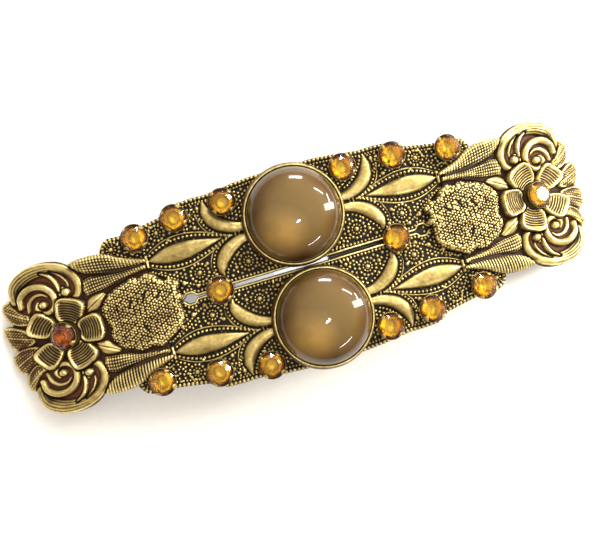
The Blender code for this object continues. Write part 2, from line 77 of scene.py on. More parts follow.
def tilt_at(x):
    bend = 2 * END_BEND * np.maximum(0, np.abs(x) - END_BEND_FROM) * np.sign(x)
    return np.arctan(x / np.sqrt(ARCH_RADIUS**2 - x**2) + bend)


def on_arch(x, y, level):
    """Points at these heights above the arch, as an array of x, y, z."""
    tilt = tilt_at(x)
    return np.stack([x + level * np.sin(tilt), y + 0 * x, SHEET_Z - drop(x) + level * np.cos(tilt)], axis=-1)


def seat(x, y, level):
    """Matrix that puts a stone or a cup on the arch there, square to it."""
    x = float(x)
    place = Matrix.Translation(Vector(on_arch(np.array(x), np.array(float(y)), level)) * MM)
    return place @ Matrix.Rotation(float(tilt_at(x)), 4, "Y")


# ---------------------------------------------------------------- curves in the flat


def smooth_path(points, step=0.1):
    """Catmull-Rom curve through the points, as points about one step apart."""
    p = np.array(points, float)
    p = np.vstack([2 * p[0] - p[1], p, 2 * p[-1] - p[-2]])
    out = []
    for a, b, c, d in zip(p[:-3], p[1:-2], p[2:-1], p[3:]):
        n = max(2, int(np.linalg.norm(c - b) / step))
        t = np.linspace(0, 1, n, endpoint=False)[:, None]
        square, cube = 2 * a - 5 * b + 4 * c - d, 3 * b - a - 3 * c + d
        out.append(0.5 * (2 * b + (c - a) * t + square * t**2 + cube * t**3))
    out.append(p[-2:-1])
    return np.vstack(out)


def closed_path(points, step=0.3):
    """Catmull-Rom loop through the points: the stretch between two passes of its first point."""
    p = [tuple(q) for q in points]
    full = smooth_path(p[-2:] + p + p[:2], step)
    start = int(np.argmin(np.linalg.norm(full - np.array(p[0]), axis=1)[: len(full) // 2]))
    after = np.linalg.norm(full - np.array(p[0]), axis=1)
    after[: len(full) // 2] = 99
    return full[start : int(np.argmin(after))]


def spaced(path, pitch):
    """Points at equal steps along a path."""
    seg = np.linalg.norm(np.diff(path, axis=0), axis=1)
    s = np.concatenate([[0], np.cumsum(seg)])
    n = max(1, int(round(s[-1] / pitch)))
    at = s[-1] * np.arange(n + 1) / n
    return np.stack([np.interp(at, s, path[:, 0]), np.interp(at, s, path[:, 1])], axis=1)


def offset_path(path, by):
    """The path moved sideways, to its left for a positive distance. by may vary along it."""
    along = np.gradient(path, axis=0)
    along /= np.linalg.norm(along, axis=1)[:, None] + 1e-9
    return path + np.stack([-along[:, 1], along[:, 0]], axis=1) * np.reshape(by, (-1, 1))


def mirrored(points, side):
    return [(u, v * side) for u, v in points]


def curve(points, side, step=0.1):
    """Smooth path through points given for the upper side and mirrored for the lower."""
    return smooth_path(mirrored(points, side), step)


def domed(share):
    """Height of a unit half-sphere at this share of its radius."""
    return np.sqrt(np.clip(1 - share**2, 0, 1))


def wave(turns):
    """1 at every whole turn and 0 half-way between."""
    return 0.5 + 0.5 * np.cos(2 * math.pi * turns)


def stroke(distance, width):
    """1 on a drawn line, fading within about this width of it."""
    return np.exp(-((distance / width) ** 2))


# ---------------------------------------------------------------- relief


def blurred(field, radius):
    """Three passes of a box average, close to a Gaussian of that radius in cells."""
    r = max(1, int(radius))
    for axis in (0, 1):
        for _ in range(3):
            pad = [(0, 0), (0, 0)]
            pad[axis] = (r + 1, r)
            total = np.cumsum(np.pad(field, pad, mode="edge"), axis=axis)
            n = field.shape[axis]
            high = np.take(total, np.arange(2 * r + 1, 2 * r + 1 + n), axis=axis)
            low = np.take(total, np.arange(n), axis=axis)
            field = (high - low) / (2 * r + 1)
    return field


GROUND = 0.12  # lowest height of an end stamping's relief


class Relief:
    """Height, polish and warmth of a stamped sheet, over a rectangle of its own plane."""

    pitch = 0.05  # between the points it is kept at

    def __init__(self, u0, u1, v0, v1):
        pitch = self.pitch
        self.u0, self.v0 = u0, v0
        self.nu, self.nv = int((u1 - u0) / pitch) + 1, int((v1 - v0) / pitch) + 1
        u, v = u0 + pitch * np.arange(self.nu), v0 + pitch * np.arange(self.nv)
        self.U, self.V = np.meshgrid(u, v, indexing="ij")
        self.h = np.zeros(self.U.shape)
        self.shine = np.zeros(self.U.shape)
        self.warm = np.zeros(self.U.shape)
        self.shade = np.zeros(self.U.shape)  # added to the tone: below 0 darkens it, as blackening in pits and as painted shade in grooves, folds and on the flanks of bands
        self.room = np.full(self.U.shape, 9.0)  # distance to the nearest feature
        self.inside = np.full(self.U.shape, -9.0)  # signed distance to the sheet's outline

    def window(self, u_lo, u_hi, v_lo, v_hi):
        def clip(value, low, count):
            return min(max(int((value - low) / self.pitch), 0), count)

        return (
            slice(clip(u_lo, self.u0, self.nu), clip(u_hi, self.u0, self.nu) + 1),
            slice(clip(v_lo, self.v0, self.nv), clip(v_hi, self.v0, self.nv) + 1),
        )

    def around(self, points, reach):
        p = np.array(points, float).reshape(-1, 2)
        low, high = p.min(0) - reach, p.max(0) + reach
        return self.window(low[0], high[0], low[1], high[1])

    def sample(self, field, u, v):
        """Bilinear reading of a field."""
        a = np.clip((u - self.u0) / self.pitch, 0, self.nu - 1.001)
        b = np.clip((v - self.v0) / self.pitch, 0, self.nv - 1.001)
        i, j = a.astype(int), b.astype(int)
        a, b = a - i, b - j
        return (
            field[i, j] * (1 - a) * (1 - b)
            + field[i + 1, j] * a * (1 - b)
            + field[i, j + 1] * (1 - a) * b
            + field[i + 1, j + 1] * a * b
        )

    # shapes added on top of the ground

    def distance(self, w, at):
        return np.hypot(self.U[w] - at[0], self.V[w] - at[1])

    def bead(self, at, r, rise):
        w = self.around([at], r * 1.6)
        d = self.distance(w, at)
        cap = rise * domed(d / r) - 9 * (d > r)
        self.h[w] = np.maximum(self.h[w], cap)
        self.room[w] = np.minimum(self.room[w], d - r)

    def beads(self, path, pitch, r, rise):
        for at in spaced(np.array(path, float), pitch):
            self.bead(at, r, rise)

    def near(self, path, reach):
        """Window, distance to the path, side of it and share along it, for points within reach."""
        path = np.array(path, float)
        w = self.around(path, reach + 0.1)
        u, v = self.U[w], self.V[w]
        best = np.full(u.shape, 99.0)
        side = np.zeros(u.shape)
        share = np.zeros(u.shape)
        along = np.gradient(path, axis=0)
        along /= np.linalg.norm(along, axis=1)[:, None] + 1e-9
        k = int(reach / self.pitch) + 3
        for n, (p, t) in enumerate(zip(path, along)):
            i = int(round((p[0] - u[0, 0]) / self.pitch))
            j = int(round((p[1] - v[0, 0]) / self.pitch))
            box = (slice(max(i - k, 0), max(i + k, 0)), slice(max(j - k, 0), max(j + k, 0)))
            du, dv = u[box] - p[0], v[box] - p[1]
            d = np.hypot(du, dv)
            closer = d < best[box]
            best[box] = np.where(closer, d, best[box])
            side[box] = np.where(closer, -du * t[1] + dv * t[0], side[box])
            share[box] = np.where(closer, n / (len(path) - 1), share[box])
        return w, best, side, share

    def ribbon(self, path, widths, rise, power=0.5, shine=0.0, taper=True):
        """A domed band along a path, whose half-widths are spaced evenly along it."""
        w, d, _, share = self.near(path, max(widths) + 0.1)
        half = np.interp(share, np.linspace(0, 1, len(widths)), widths) + 1e-6
        q = np.clip(1 - (d / half) ** 2, 0, 1)
        top = rise * (np.clip(half / max(widths), 0, 1) ** 0.6 if taper else 1)
        cap = top * q**power - 9 * (d > half)
        over = cap > self.h[w]
        self.h[w] = np.where(over, cap, self.h[w])
        self.shine[w] = np.where(over, shine * q**0.35, self.shine[w])
        self.room[w] = np.minimum(self.room[w], d - half)

    # shapes laid over what is already there

    def stamp(self, w, s, height, shine=0.0, warm=0.0, shade=0.0, groove=0.28, depth=0.55):
        """Replaces the surface inside s > 0 and cuts a groove round it, darkened with painted shade."""
        near = np.clip(1 + s / groove, 0, 1) * (s < 0)
        cut = np.minimum(self.h[w], np.maximum(GROUND, self.h[w] - depth * near))
        self.h[w] = np.where(s < 0, cut, self.h[w])
        self.shine[w] = np.where(s < 0, self.shine[w] * (1 - near), self.shine[w])
        self.h[w] = np.where(s >= 0, height, self.h[w])
        self.shine[w] = np.where(s >= 0, shine, self.shine[w])
        self.warm[w] = np.where(s >= 0, warm, self.warm[w])
        # painted shade in the groove round the shape
        self.shade[w] = np.where(s >= 0, shade, self.shade[w] - 0.3 * near)
        self.room[w] = np.minimum(self.room[w], -s)
        self.inside[w] = np.maximum(self.inside[w], s)

    def polygon(self, points, reach=0.5):
        """Window and signed distance to a closed polygon, positive inside."""
        p = np.array(points, float)
        w = self.around(p, reach)
        u, v = self.U[w], self.V[w]
        best = np.full(u.shape, 99.0)
        odd = np.zeros(u.shape, bool)
        for (a, b), (c, d) in zip(p, np.roll(p, -1, axis=0)):
            du, dv = c - a, d - b
            t = np.clip(((u - a) * du + (v - b) * dv) / (du * du + dv * dv + 1e-12), 0, 1)
            best = np.minimum(best, np.hypot(u - a - t * du, v - b - t * dv))
            crosses = (b > v) != (d > v)
            odd ^= crosses & (u < a + (v - b) * du / (dv if abs(dv) > 1e-12 else 1e-12))
        return w, np.where(odd, best, -best)

    def band(self, path, widths, base, rise, shine=0.85, grooves=(), groove_depth=0.16, depth=0.55):
        """A raised scroll band laid over the rest, with thin grooves along it at shares of its width."""
        w, d, side, share = self.near(path, max(widths) + 0.5)
        half = np.interp(share, np.linspace(0, 1, len(widths)), widths)
        q = np.clip(1 - (d / half) ** 2, 0, 1)
        height = base + rise * (half / max(widths)) ** 0.5 * q**0.5
        polish = shine * q**0.3
        # painted shade: the band darkens from its crest out onto its flanks
        shade = -0.12 * (1 - q**0.5)
        for at in grooves:
            cut = stroke((side / half - at) * half, 0.14) * np.clip((half - 0.45) / 0.4, 0, 1)
            height -= groove_depth * cut
            polish *= 1 - 0.9 * cut
            shade -= 0.3 * cut
        self.stamp(w, half - d, height, polish, shade=shade, depth=depth)

    def tone(self, reach=0.45, gain=0.3):
        """0 in the deepest, blackest recess to 1 on rubbed high metal."""
        local = self.h - blurred(self.h, reach / self.pitch)
        cavity = np.clip(0.5 + local / gain, 0, 1)
        polished = np.clip(0.71 + local / 0.95, 0.1, 1)
        # the shade term brings painted shade into the tone along with the blackening
        return np.clip(cavity * (1 - self.shine) + self.shine * polished + self.shade, 0, 1)


# ---------------------------------------------------------------- meshes


def make_object(name, points, quads, others=(), smooth=None, attributes=None, matrix=None):
    """Mesh object from millimetre points, an (n, 4) array of quads and other faces of any length."""
    points = np.asarray(points, float).reshape(-1, 3) * MM
    quads = np.asarray(quads, np.int32).reshape(-1, 4)
    sizes = np.concatenate([np.full(len(quads), 4), np.array([len(f) for f in others], int)]).astype(int)
    loops = np.concatenate([quads.ravel()] + [np.asarray(f, np.int32) for f in others]).astype(np.int32)
    mesh = bpy.data.meshes.new(name)
    mesh.vertices.add(len(points))
    mesh.vertices.foreach_set("co", points.astype(np.float32).ravel())
    mesh.loops.add(len(loops))
    mesh.loops.foreach_set("vertex_index", loops)
    mesh.polygons.add(len(sizes))
    mesh.polygons.foreach_set("loop_start", np.concatenate([[0], np.cumsum(sizes)[:-1]]).astype(np.int32))
    shade = np.ones(len(sizes), bool) if smooth is None else np.asarray(smooth, bool)
    mesh.polygons.foreach_set("use_smooth", shade)
    mesh.update(calc_edges=True)
    for key, values in (attributes or {}).items():
        attribute = mesh.attributes.new(key, "FLOAT", "POINT")
        attribute.data.foreach_set("value", np.asarray(values, np.float32))
    obj = bpy.data.objects.new(name, mesh)
    bpy.context.scene.collection.objects.link(obj)
    if matrix is not None:
        obj.matrix_world = matrix
    return obj


def grid_quads(nx, ny, start=0, flip=False):
    """Quads of an nx by ny grid of points."""
    a, b = np.meshgrid(np.arange(nx - 1), np.arange(ny - 1), indexing="ij")
    corner = a * ny + b
    quads = np.stack([corner, corner + ny, corner + ny + 1, corner + 1], axis=-1).reshape(-1, 4) + start
    return quads[:, ::-1] if flip else quads


def turned_quads(sides, n, loop=True):
    """Quads of a profile of n points turned round; loop joins its last point to its first."""
    i, j = np.meshgrid(np.arange(sides), np.arange(n if loop else n - 1), indexing="ij")
    i2, j2 = (i + 1) % sides, (j + 1) % n
    return np.stack([i * n + j, i2 * n + j, i2 * n + j2, i * n + j2], axis=-1).reshape(-1, 4)


def turn_angles(sides):
    return np.linspace(0, 2 * math.pi, sides, endpoint=False)


def brass_ring(name, points, tones, matrix):
    """Ring from (sides, profile, 3) points, with a tone for each."""
    sides, n = points.shape[:2]
    patina = {"tone": tones.ravel(), "warm": np.full(sides * n, 0.5)}
    return make_object(name, points, turned_quads(sides, n), attributes=patina, matrix=matrix)


# ---------------------------------------------------------------- filigree strips

# Half-outlines of the upper strip, as distance along it and out from its axis
OUTER = ((0, 9.9), (6, 9.9), (10, 9.6), (12, 9.3), (15, 9.0), (17, 9.1), (20.5, 9.0), (22, 8.4), (23.2, 7.5),
         (26, 7.0), (28.5, 6.6), (32, 6.1), (34.4, 6.3), (35.6, 5.7), (36.4, 4.3))
INNER = ((0, -8.4), (15, -8.4), (16, -8.6), (21.6, -8.6), (21.9, -7.85), (23.5, -7.85), (23.8, -8.6),
         (25.2, -8.6), (26.4, -6.8), (31, -5.8), (34, -4.8), (36.4, -2.6))
STRIP_END = 36.4
EDGE_PITCH = 0.8  # between the beads of the rope edge


def edge(outline, u):
    """Half-outline read with its corners slightly rounded."""
    along, out = np.array(outline).T
    return np.mean([np.interp(np.abs(u + d), along, out) for d in (-0.3, -0.15, 0, 0.15, 0.3)], axis=0)


def edge_path(outline, inset):
    u = np.arange(0, STRIP_END - 0.4, 0.1)
    return np.stack([u, edge(outline, u) - inset], axis=1)


def pod_half_width(t):
    """Half-width of a seed-pod shape, 1 at its widest, at this share of its length."""
    return np.sin(math.pi * np.clip(t, 0, 1) ** 1.27) ** 0.8


def lean(u):
    """The pods and horns converge a little towards the ends: how far their axis lies outside the strip's."""
    return 0.45 - 0.024 * (np.clip(u, 6, 40) - 12)


def pod_outline(u0, u1, half, side):
    t = np.linspace(0, 1, 160)
    u = u0 + (u1 - u0) * t
    return np.stack([u, side * half * pod_half_width(t) + lean(u)], axis=1)


def strip_relief():
    """Half a strip: a pod, crescent horns, rosettes, rope edges and grains."""
    relief = Relief(-0.6, 37.2, -9.2, 10.6)
    rng = np.random.default_rng(5)

    # pod, its bead rows and its outer ridge
    pod_start, pod_length, pod_width = 13.9, 14.4, 1.72
    t = (relief.U - pod_start) / pod_length
    half = pod_width * pod_half_width(t) + 1e-6
    q = np.clip(1 - ((relief.V - lean(relief.U)) / half) ** 2, 0, 1) * ((t > 0) & (t < 1))
    pod = 0.15 + 0.85 * (half / pod_width) ** 0.6 * q**0.55
    relief.h = np.maximum(relief.h, np.where(q > 0, pod, 0))
    relief.shine = np.where(q > 0, q**0.3, 0)
    relief.room = np.where(q > 0, 0, relief.room)
    for side in (1, -1):
        relief.beads(pod_outline(12.5, 28.9, 2.45, side), 0.78, 0.33, 0.5)
        relief.ribbon(pod_outline(12.0, 29.4, 3.1, side), (0.1, 0.16, 0.16, 0.1), 0.38)
    relief.ribbon([(28.4, v) for v in np.linspace(-0.95, 1.05, 12)], (0.32, 0.36, 0.32), 0.9, shine=0.5)

    # crescent horns
    for side in (1, -1):
        tip = [(15.7, 7.4)] if side > 0 else [(15.5, -6.5)]
        spine = [(9.0, 0.95 * side), (10.8, 1.2 * side), (12.4, 1.8 * side), (13.9, 2.8 * side),
                 (15.0, 4.1 * side), (15.6, 5.6 * side)]
        path = smooth_path([(u, v + lean(u) - 0.1) for u, v in spine + tip])
        widths = (0.78, 1.0, 1.22, 1.36, 1.32, 1.08, 0.35)
        relief.ribbon(path, widths, 0.85, power=0.6, shine=1.0)
        w = np.interp(np.linspace(0, 1, len(path)), np.linspace(0, 1, len(widths)), widths)
        for turn in (1, -1):
            row = offset_path(path, turn * (w + 0.42))
            row = row[row[:, 0] > 10.2]
            relief.beads(row[4:], 0.7, 0.27, 0.46)
        ridge = offset_path(path, -side * (w + 0.95))[24:-4]
        relief.ribbon(ridge, (0.08, 0.14, 0.14, 0.08), 0.32)

    # rosettes: a ring of beads, mostly with a smaller one inside it, round a boss
    for at, radius, doubled, boss in (
        ((10.5, -5.1), 1.65, True, 0.5), ((19.7, -4.7), 1.7, True, 0.5), ((25.3, 4.7), 1.4, True, 0.45),
        ((34.2, 4.1), 1.55, True, 0.5), ((30.4, 3.6), 1.2, False, 0.45), ((31.2, -3.6), 1.25, True, 0.35),
        ((6.6, -6.6), 0.9, False, 0.4), ((18.6, 6.1), 1.05, True, 0.35),
    ):
        turns = np.linspace(0, 2 * math.pi, 60)
        circle = np.stack([at[0] + radius * np.cos(turns), at[1] + radius * np.sin(turns)], axis=1)
        relief.beads(circle, 0.72, 0.31, 0.52)
        if doubled:
            relief.beads(circle * 0.52 + np.array(at) * 0.48, 0.56, 0.24, 0.4)
        relief.bead(at, boss * 1.05, 0.7)
        relief.room = np.minimum(relief.room, relief.distance(slice(None), at) - radius)
    for at, r in (
        ((12.9, -5.6), 0.42), ((17.9, -3.4), 0.42), ((23.0, -5.7), 0.52), ((18.3, 3.6), 0.46),
        ((23.6, 2.9), 0.36), ((16.9, 6.9), 0.46), ((21.6, 4.0), 0.42), ((28.3, -3.5), 0.5),
        ((25.6, -4.2), 0.46), ((12.3, 4.6), 0.4), ((12.2, -3.4), 0.36), ((22.4, 6.2), 0.42),
        ((30.6, 2.2), 0.4), ((16.8, -5.9), 0.42), ((14.0, -6.9), 0.35), ((20.6, -6.9), 0.4),
        ((11.4, 6.9), 0.42),
    ):
        relief.bead(at, r, 0.62)
    for row in (
        [(17.2, -5.4), (18.2, -6.5), (20.0, -6.9), (22.3, -5.9), (25.2, -3.9), (28.0, -2.1)],
        [(28.4, 2.4), (27.0, 4.6), (26.3, 6.2)],
        [(29.6, 2.4), (29.0, 4.4), (28.6, 5.6)],
        [(16.6, 4.6), (17.4, 5.0), (17.9, 7.6)],
        [(20.4, 3.3), (20.2, 5.0), (20.6, 7.4)],
    ):
        relief.beads(smooth_path(row), 0.62, 0.26, 0.44)

    # rope edges: a row of beads right on the edge and a finer one inside it
    relief.beads(edge_path(OUTER, 0.34), EDGE_PITCH, 0.36, 0.5)
    relief.beads(edge_path(OUTER, 1.02), 0.62, 0.25, 0.4)
    relief.ribbon(edge_path(INNER, -0.24), (0.2, 0.2), 0.42, shine=0.6, taper=False)
    relief.beads(edge_path(INNER, -0.78), 0.72, 0.3, 0.48)

    # small grains wherever there is room
    pitch = 0.78
    for i, u in enumerate(np.arange(0, STRIP_END, pitch * 0.87)):
        for v in np.arange(-8.4, 9.9, pitch):
            at = (u + rng.uniform(-0.08, 0.08), v + (i % 2) * pitch / 2 + rng.uniform(-0.08, 0.08))
            if relief.sample(relief.room, np.array([at[0]]), np.array([at[1]]))[0] > 0.22:
                w = relief.around([at], 0.3)
                relief.h[w] = np.maximum(relief.h[w], 0.34 * domed(relief.distance(w, at) / 0.28))
    relief.shade -= 0.1 * (relief.shine < 0.1)
    return relief


def filigree_strip(name, relief, side):
    """A stamped strip: fine relief above, a coarser hollow back, one closed skin."""
    columns, rows, under_rows = 586, 144, 14
    x = np.linspace(-STRIP_END, STRIP_END, columns)
    teeth = 0.16 * np.abs(np.cos(math.pi * x / EDGE_PITCH)) ** 0.7
    low, high = edge(INNER, x), edge(OUTER, x) + teeth - 0.08
    low = np.where((x > 4) & (x < 25.6), -8.72, low)  # the slit closes on the catch side

    def surface(count, field):
        t = np.linspace(0, 1, count)[None, :]
        v = low[:, None] * (1 - t) + high[:, None] * t
        u = np.repeat(np.abs(x)[:, None], count, axis=1)
        crown = 0.35 * np.clip(1 - ((v + 0.3) / 8.5) ** 2, 0, 1)
        return np.repeat(x[:, None], count, axis=1), v, crown + relief.sample(field, u, v)

    xs, v, level = surface(rows, relief.h)
    top = on_arch(xs, side * (STRIP_Y + v), SHEET_THICKNESS + level)
    xb, vb, hollow = surface(under_rows, blurred(relief.h, 12))
    edge_fade = np.sin(math.pi * np.linspace(0, 1, under_rows)) ** 0.4
    depth = np.clip(hollow * edge_fade[None, :] * 0.75, 0, None)
    under = on_arch(xb, side * (STRIP_Y + vb), depth).reshape(-1, 3)
    flip = side < 0
    n_top = columns * rows
    quads = [grid_quads(columns, rows, flip=flip)]
    quads.append(grid_quads(columns, under_rows, start=n_top, flip=not flip))
    i = np.arange(columns - 1)
    for top_row, under_row, turn in ((0, 0, flip), (rows - 1, under_rows - 1, not flip)):
        a, b = i * rows + top_row, (i + 1) * rows + top_row
        c, d = n_top + (i + 1) * under_rows + under_row, n_top + i * under_rows + under_row
        wall = np.stack([a, d, c, b], axis=1)
        quads.append(wall[:, ::-1] if turn else wall)
    caps = []
    for column, turn in ((0, flip), (columns - 1, not flip)):
        above = [column * rows + j for j in range(rows)]
        below = [n_top + column * under_rows + j for j in range(under_rows)]
        ring = above + below[::-1]
        caps.append(ring if turn else ring[::-1])
    counts = [len(q) for q in quads]
    smooth = np.concatenate([np.ones(counts[0] + counts[1]), np.zeros(counts[2] + counts[3] + 2)])
    attributes = {
        key: np.concatenate([relief.sample(field, np.abs(xs), v).ravel(), np.full(len(under), back)])
        for key, field, back in (("tone", relief.tone(), 0.45), ("warm", relief.warm, 0.2))
    }
    points = np.vstack([top.reshape(-1, 3), under])
    return make_object(name, points, np.vstack(quads), caps, smooth, attributes)


# ---------------------------------------------------------------- floral end stampings

FLOWER = (45.66, 0.0)
# How far out each station of the drawn pattern really lies
STATIONS = (
    (22.0, 22.1), (28.0, 28.15), (39.3, 39.75), (45.66, 46.2), (53.2, 54.0), (56.7, 57.4), (60.0, 60.6)
)


def rounded_square(u, v, at, angle, radial, half_u, half_v):
    """Signed distance, roughly, to a petal-shaped rounded square, and coordinates in it."""
    power = 3.2
    du, dv = u - at[0], v - at[1]
    r = du * math.cos(angle) + dv * math.sin(angle)
    s = -du * math.sin(angle) + dv * math.cos(angle)
    a = (r - radial) / half_u
    spread = half_v * (0.92 + 0.13 * np.clip(a, -1, 1))
    q = (np.abs(a) ** power + np.abs(s / spread) ** power + 1e-9) ** (1 / power)
    return (1 - q) * min(half_u, half_v), r, s, np.hypot(du, dv)


def leaf_between(relief, lower, upper, base, rise, rows, pitch, ribs=False, shine=0.12):
    """A pointed leaf between two edges, covered with rows of dots or with cross ribs."""
    lower, upper = np.array(lower, float), np.array(upper, float)
    lower, upper = lower[np.argsort(lower[:, 0])], upper[np.argsort(upper[:, 0])]
    outline = np.vstack([smooth_path(lower, 0.4), smooth_path(upper, 0.4)[::-1]])
    w, s = relief.polygon(outline)
    u, v = relief.U[w], relief.V[w]
    lo = np.interp(u, lower[:, 0], lower[:, 1])
    hi = np.interp(u, upper[:, 0], upper[:, 1])
    across = np.clip((v - lo) / (hi - lo + 1e-6), 0, 1)
    pillow = domed(2 * across - 1)
    along, rowed = wave((u - 0.25 * (across - 0.5)) / pitch), wave(rows * across)
    pattern = along * (0.75 + 0.25 * rowed) if ribs else np.sqrt(along * rowed)
    height = base + rise * pillow + 0.26 * pattern
    # dots or ribs bright over blackened pits, with painted shading: lighter along the leaf's crown, darker
    # towards its edges
    relief.stamp(w, s, height, shine * pattern, shade=0.62 * (pattern - 0.85) + 0.12 * pillow)


def tip_leaves(relief):
    """Four leaves at the tip: cross-hatched, with a bright raised edge."""
    tips = (
        ([(55.4, 8.7), (53.2, 9.0), (51.4, 6.6), (51.2, 4.0), (52.8, 3.9), (54.9, 5.0), (55.6, 6.8)],
         (50.5, 4.2)),
        ([(56.6, 4.3), (54.8, 4.2), (52.6, 3.0), (51.2, 0.7), (52.4, -0.2), (55.0, -0.5), (56.4, 1.6)],
         (50.5, 0.6)),
        ([(56.2, -1.2), (56.2, -3.4), (55.0, -5.2), (53.0, -4.6), (51.3, -2.4), (51.2, -0.6), (54.0, -0.3)],
         (50.3, -1.0)),
        ([(54.4, -8.6), (52.6, -8.4), (51.0, -6.4), (51.0, -4.6), (52.2, -3.8), (54.2, -5.2), (55.0, -7.0)],
         (50.3, -4.4)),
    )
    for outline, root in tips:
        w, s = relief.polygon(closed_path(outline))
        u, v = relief.U[w], relief.V[w]
        middle = np.mean(outline, axis=0)
        angle = math.atan2(middle[1] - root[1], middle[0] - root[0])
        a = (u - root[0]) * math.cos(angle) + (v - root[1]) * math.sin(angle)
        b = -(u - root[0]) * math.sin(angle) + (v - root[1]) * math.cos(angle)
        hatch, fine = wave((a + 0.6 * np.abs(b)) / 0.55), wave(b / 0.5)
        rim = np.exp(-((np.clip(s, 0, 9) - 0.22) ** 2) / 0.03)
        rib = stroke(b, 0.16)
        height = 0.62 + 0.45 * np.clip(s / 1.2, 0, 1) + 0.12 * hatch + 0.08 * fine + 0.32 * rim + 0.2 * rib
        shade = 0.3 * (hatch * fine - 0.7) * (1 - rim)
        relief.stamp(w, s, height, 0.75 * np.clip(rim + 0.4 * rib, 0, 1), 0.55, shade=shade)


def side_leaves(relief, side):
    """Outer leaf, dotted above and ribbed below, the inner fan of rows and the two midribs."""
    ribs = side < 0
    leaf_between(
        relief,
        mirrored([(28.1, 8.9), (30.7, 8.8), (33.2, 8.95), (36.7, 9.45), (39.3, 10.1), (41.4, 11.3)], side),
        mirrored([(28.1, 9.5), (29.8, 10.1), (32.4, 11.1), (34.6, 12.3), (36.7, 12.9), (39.7, 13.0),
                  (41.9, 12.7)], side),
        0.75, 0.55, 6, 0.55 if ribs else 0.57, ribs=ribs,
    )
    fan = mirrored([(28.6, 7.75), (30.9, 7.5), (33.0, 7.15), (36.5, 6.4), (40.2, 5.9)], side)
    fan_top = mirrored([(28.6, 8.45), (33.2, 8.55), (36.5, 9.0), (38.6, 9.2), (40.4, 8.8)], side)
    leaf_between(relief, fan, fan_top, 0.55, 0.45, 5, 0.48, shine=0.15)
    midrib = curve([(39.6, 10.05), (36.5, 9.35), (33.2, 8.75), (28.1, 8.6)], side)
    relief.ribbon(midrib, (0.2, 0.26, 0.28, 0.3), 1.25, shine=0.9)
    midrib = curve([(36.7, 5.4), (34.1, 6.6), (31.5, 7.3), (28.8, 7.75)], side)
    relief.ribbon(midrib, (0.2, 0.3, 0.3, 0.25), 0.85, shine=0.3)


def grained_lobe(relief, rng):
    """The crumpled part nearest the middle: a low dome of grains with a fold and a few veins."""
    outline = [
        (37.6, -0.9), (38.5, 1.6), (37.9, 3.6), (36.6, 5.0), (34.9, 5.9), (33.2, 6.4), (31.7, 7.0),
        (30.4, 6.5), (29.0, 7.0), (27.5, 6.2), (26.4, 4.9), (24.9, 4.6), (23.6, 3.6), (24.2, 2.0),
        (23.4, 0.9), (24.3, 0.0), (24.2, -1.8), (24.6, -3.6), (26.3, -5.1), (28.0, -6.1), (29.5, -7.0),
        (31.2, -6.5), (33.2, -6.9), (34.9, -6.1), (36.9, -5.0), (38.0, -2.9),
    ]
    w, s = relief.polygon(closed_path(outline), 1.0)
    u, v = relief.U[w], relief.V[w]
    dome = 0.55 + 0.95 * np.clip(1 - ((u - 30.6) / 9.0) ** 2 - (v / 8.5) ** 2, 0, 1) ** 0.6
    fold = stroke(v + 0.5 - 0.04 * (u - 32), 0.5) * np.clip((u - 27) / 2, 0, 1)
    veins = 0
    for vein in ([(33.2, 1.5), (32.7, 2.7)], [(30.7, 1.8), (29.8, 3.7)], [(35.4, 1.4), (35.4, 2.4)],
                 [(31.6, -2.2), (31.0, -3.6)], [(27.9, 2.0), (27.3, 2.9)]):
        (a, b), (c, d) = vein
        t = np.clip(((u - a) * (c - a) + (v - b) * (d - b)) / ((c - a) ** 2 + (d - b) ** 2), 0, 1)
        veins = veins + stroke(np.hypot(u - a - t * (c - a), v - b - t * (d - b)), 0.16)
    grain = np.zeros(u.shape)
    pitch = 0.56
    for i, cu in enumerate(np.arange(23, 39.2, pitch * 0.87)):
        for cv in np.arange(-7.4, 7.4, pitch):
            at = (cu + rng.uniform(-0.1, 0.1), cv + (i % 2) * pitch / 2 + rng.uniform(-0.1, 0.1))
            r = rng.uniform(0.24, 0.28)
            i0, j0 = int((at[0] - u[0, 0]) / relief.pitch), int((at[1] - v[0, 0]) / relief.pitch)
            box = (slice(max(i0 - 7, 0), max(i0 + 8, 0)), slice(max(j0 - 7, 0), max(j0 + 8, 0)))
            d = np.hypot(u[box] - at[0], v[box] - at[1])
            grain[box] = np.maximum(grain[box], 0.32 * domed(d / r))
    fall = np.clip(s / 0.7, 0, 1) ** 0.5
    crumple = wave(0.17 * v + 0.07 * (u - 30) + 0.14 * np.sin(0.8 * u))
    height = 0.3 + (dome - 0.3) * fall + 0.12 * fold + 0.16 * crumple * fall + grain - 0.4 * veins
    # grains bright over blackened gaps and veins, and painted shade in the crumple's troughs
    shade = 1.5 * (grain - 0.2) - 0.4 * veins - 0.08 * (1 - crumple)
    relief.stamp(w, s, height, 0.0, 0.12, shade=shade, groove=0.4)


def split_bud(relief, side):
    """A bud with a groove along its middle."""
    outline = [(41.6, 3.4), (40.4, 5.0), (38.8, 5.8), (36.8, 5.5), (37.7, 4.0), (39.0, 2.9), (40.6, 2.5),
               (41.6, 3.4)]
    w, s = relief.polygon(curve(outline, side, 0.3))
    axis = np.array([0.86, -0.5 * side])
    across = (relief.U[w] - 39.2) * axis[1] * -1 + (relief.V[w] - 4.2 * side) * axis[0]
    groove = stroke(across, 0.16)
    height = 0.6 + 0.85 * np.clip(s / 1.1, 0, 1) ** 0.6 - 0.3 * groove
    relief.stamp(w, s, height, 0.75 * (1 - groove) * np.clip(s / 0.5, 0, 1), 0.45)


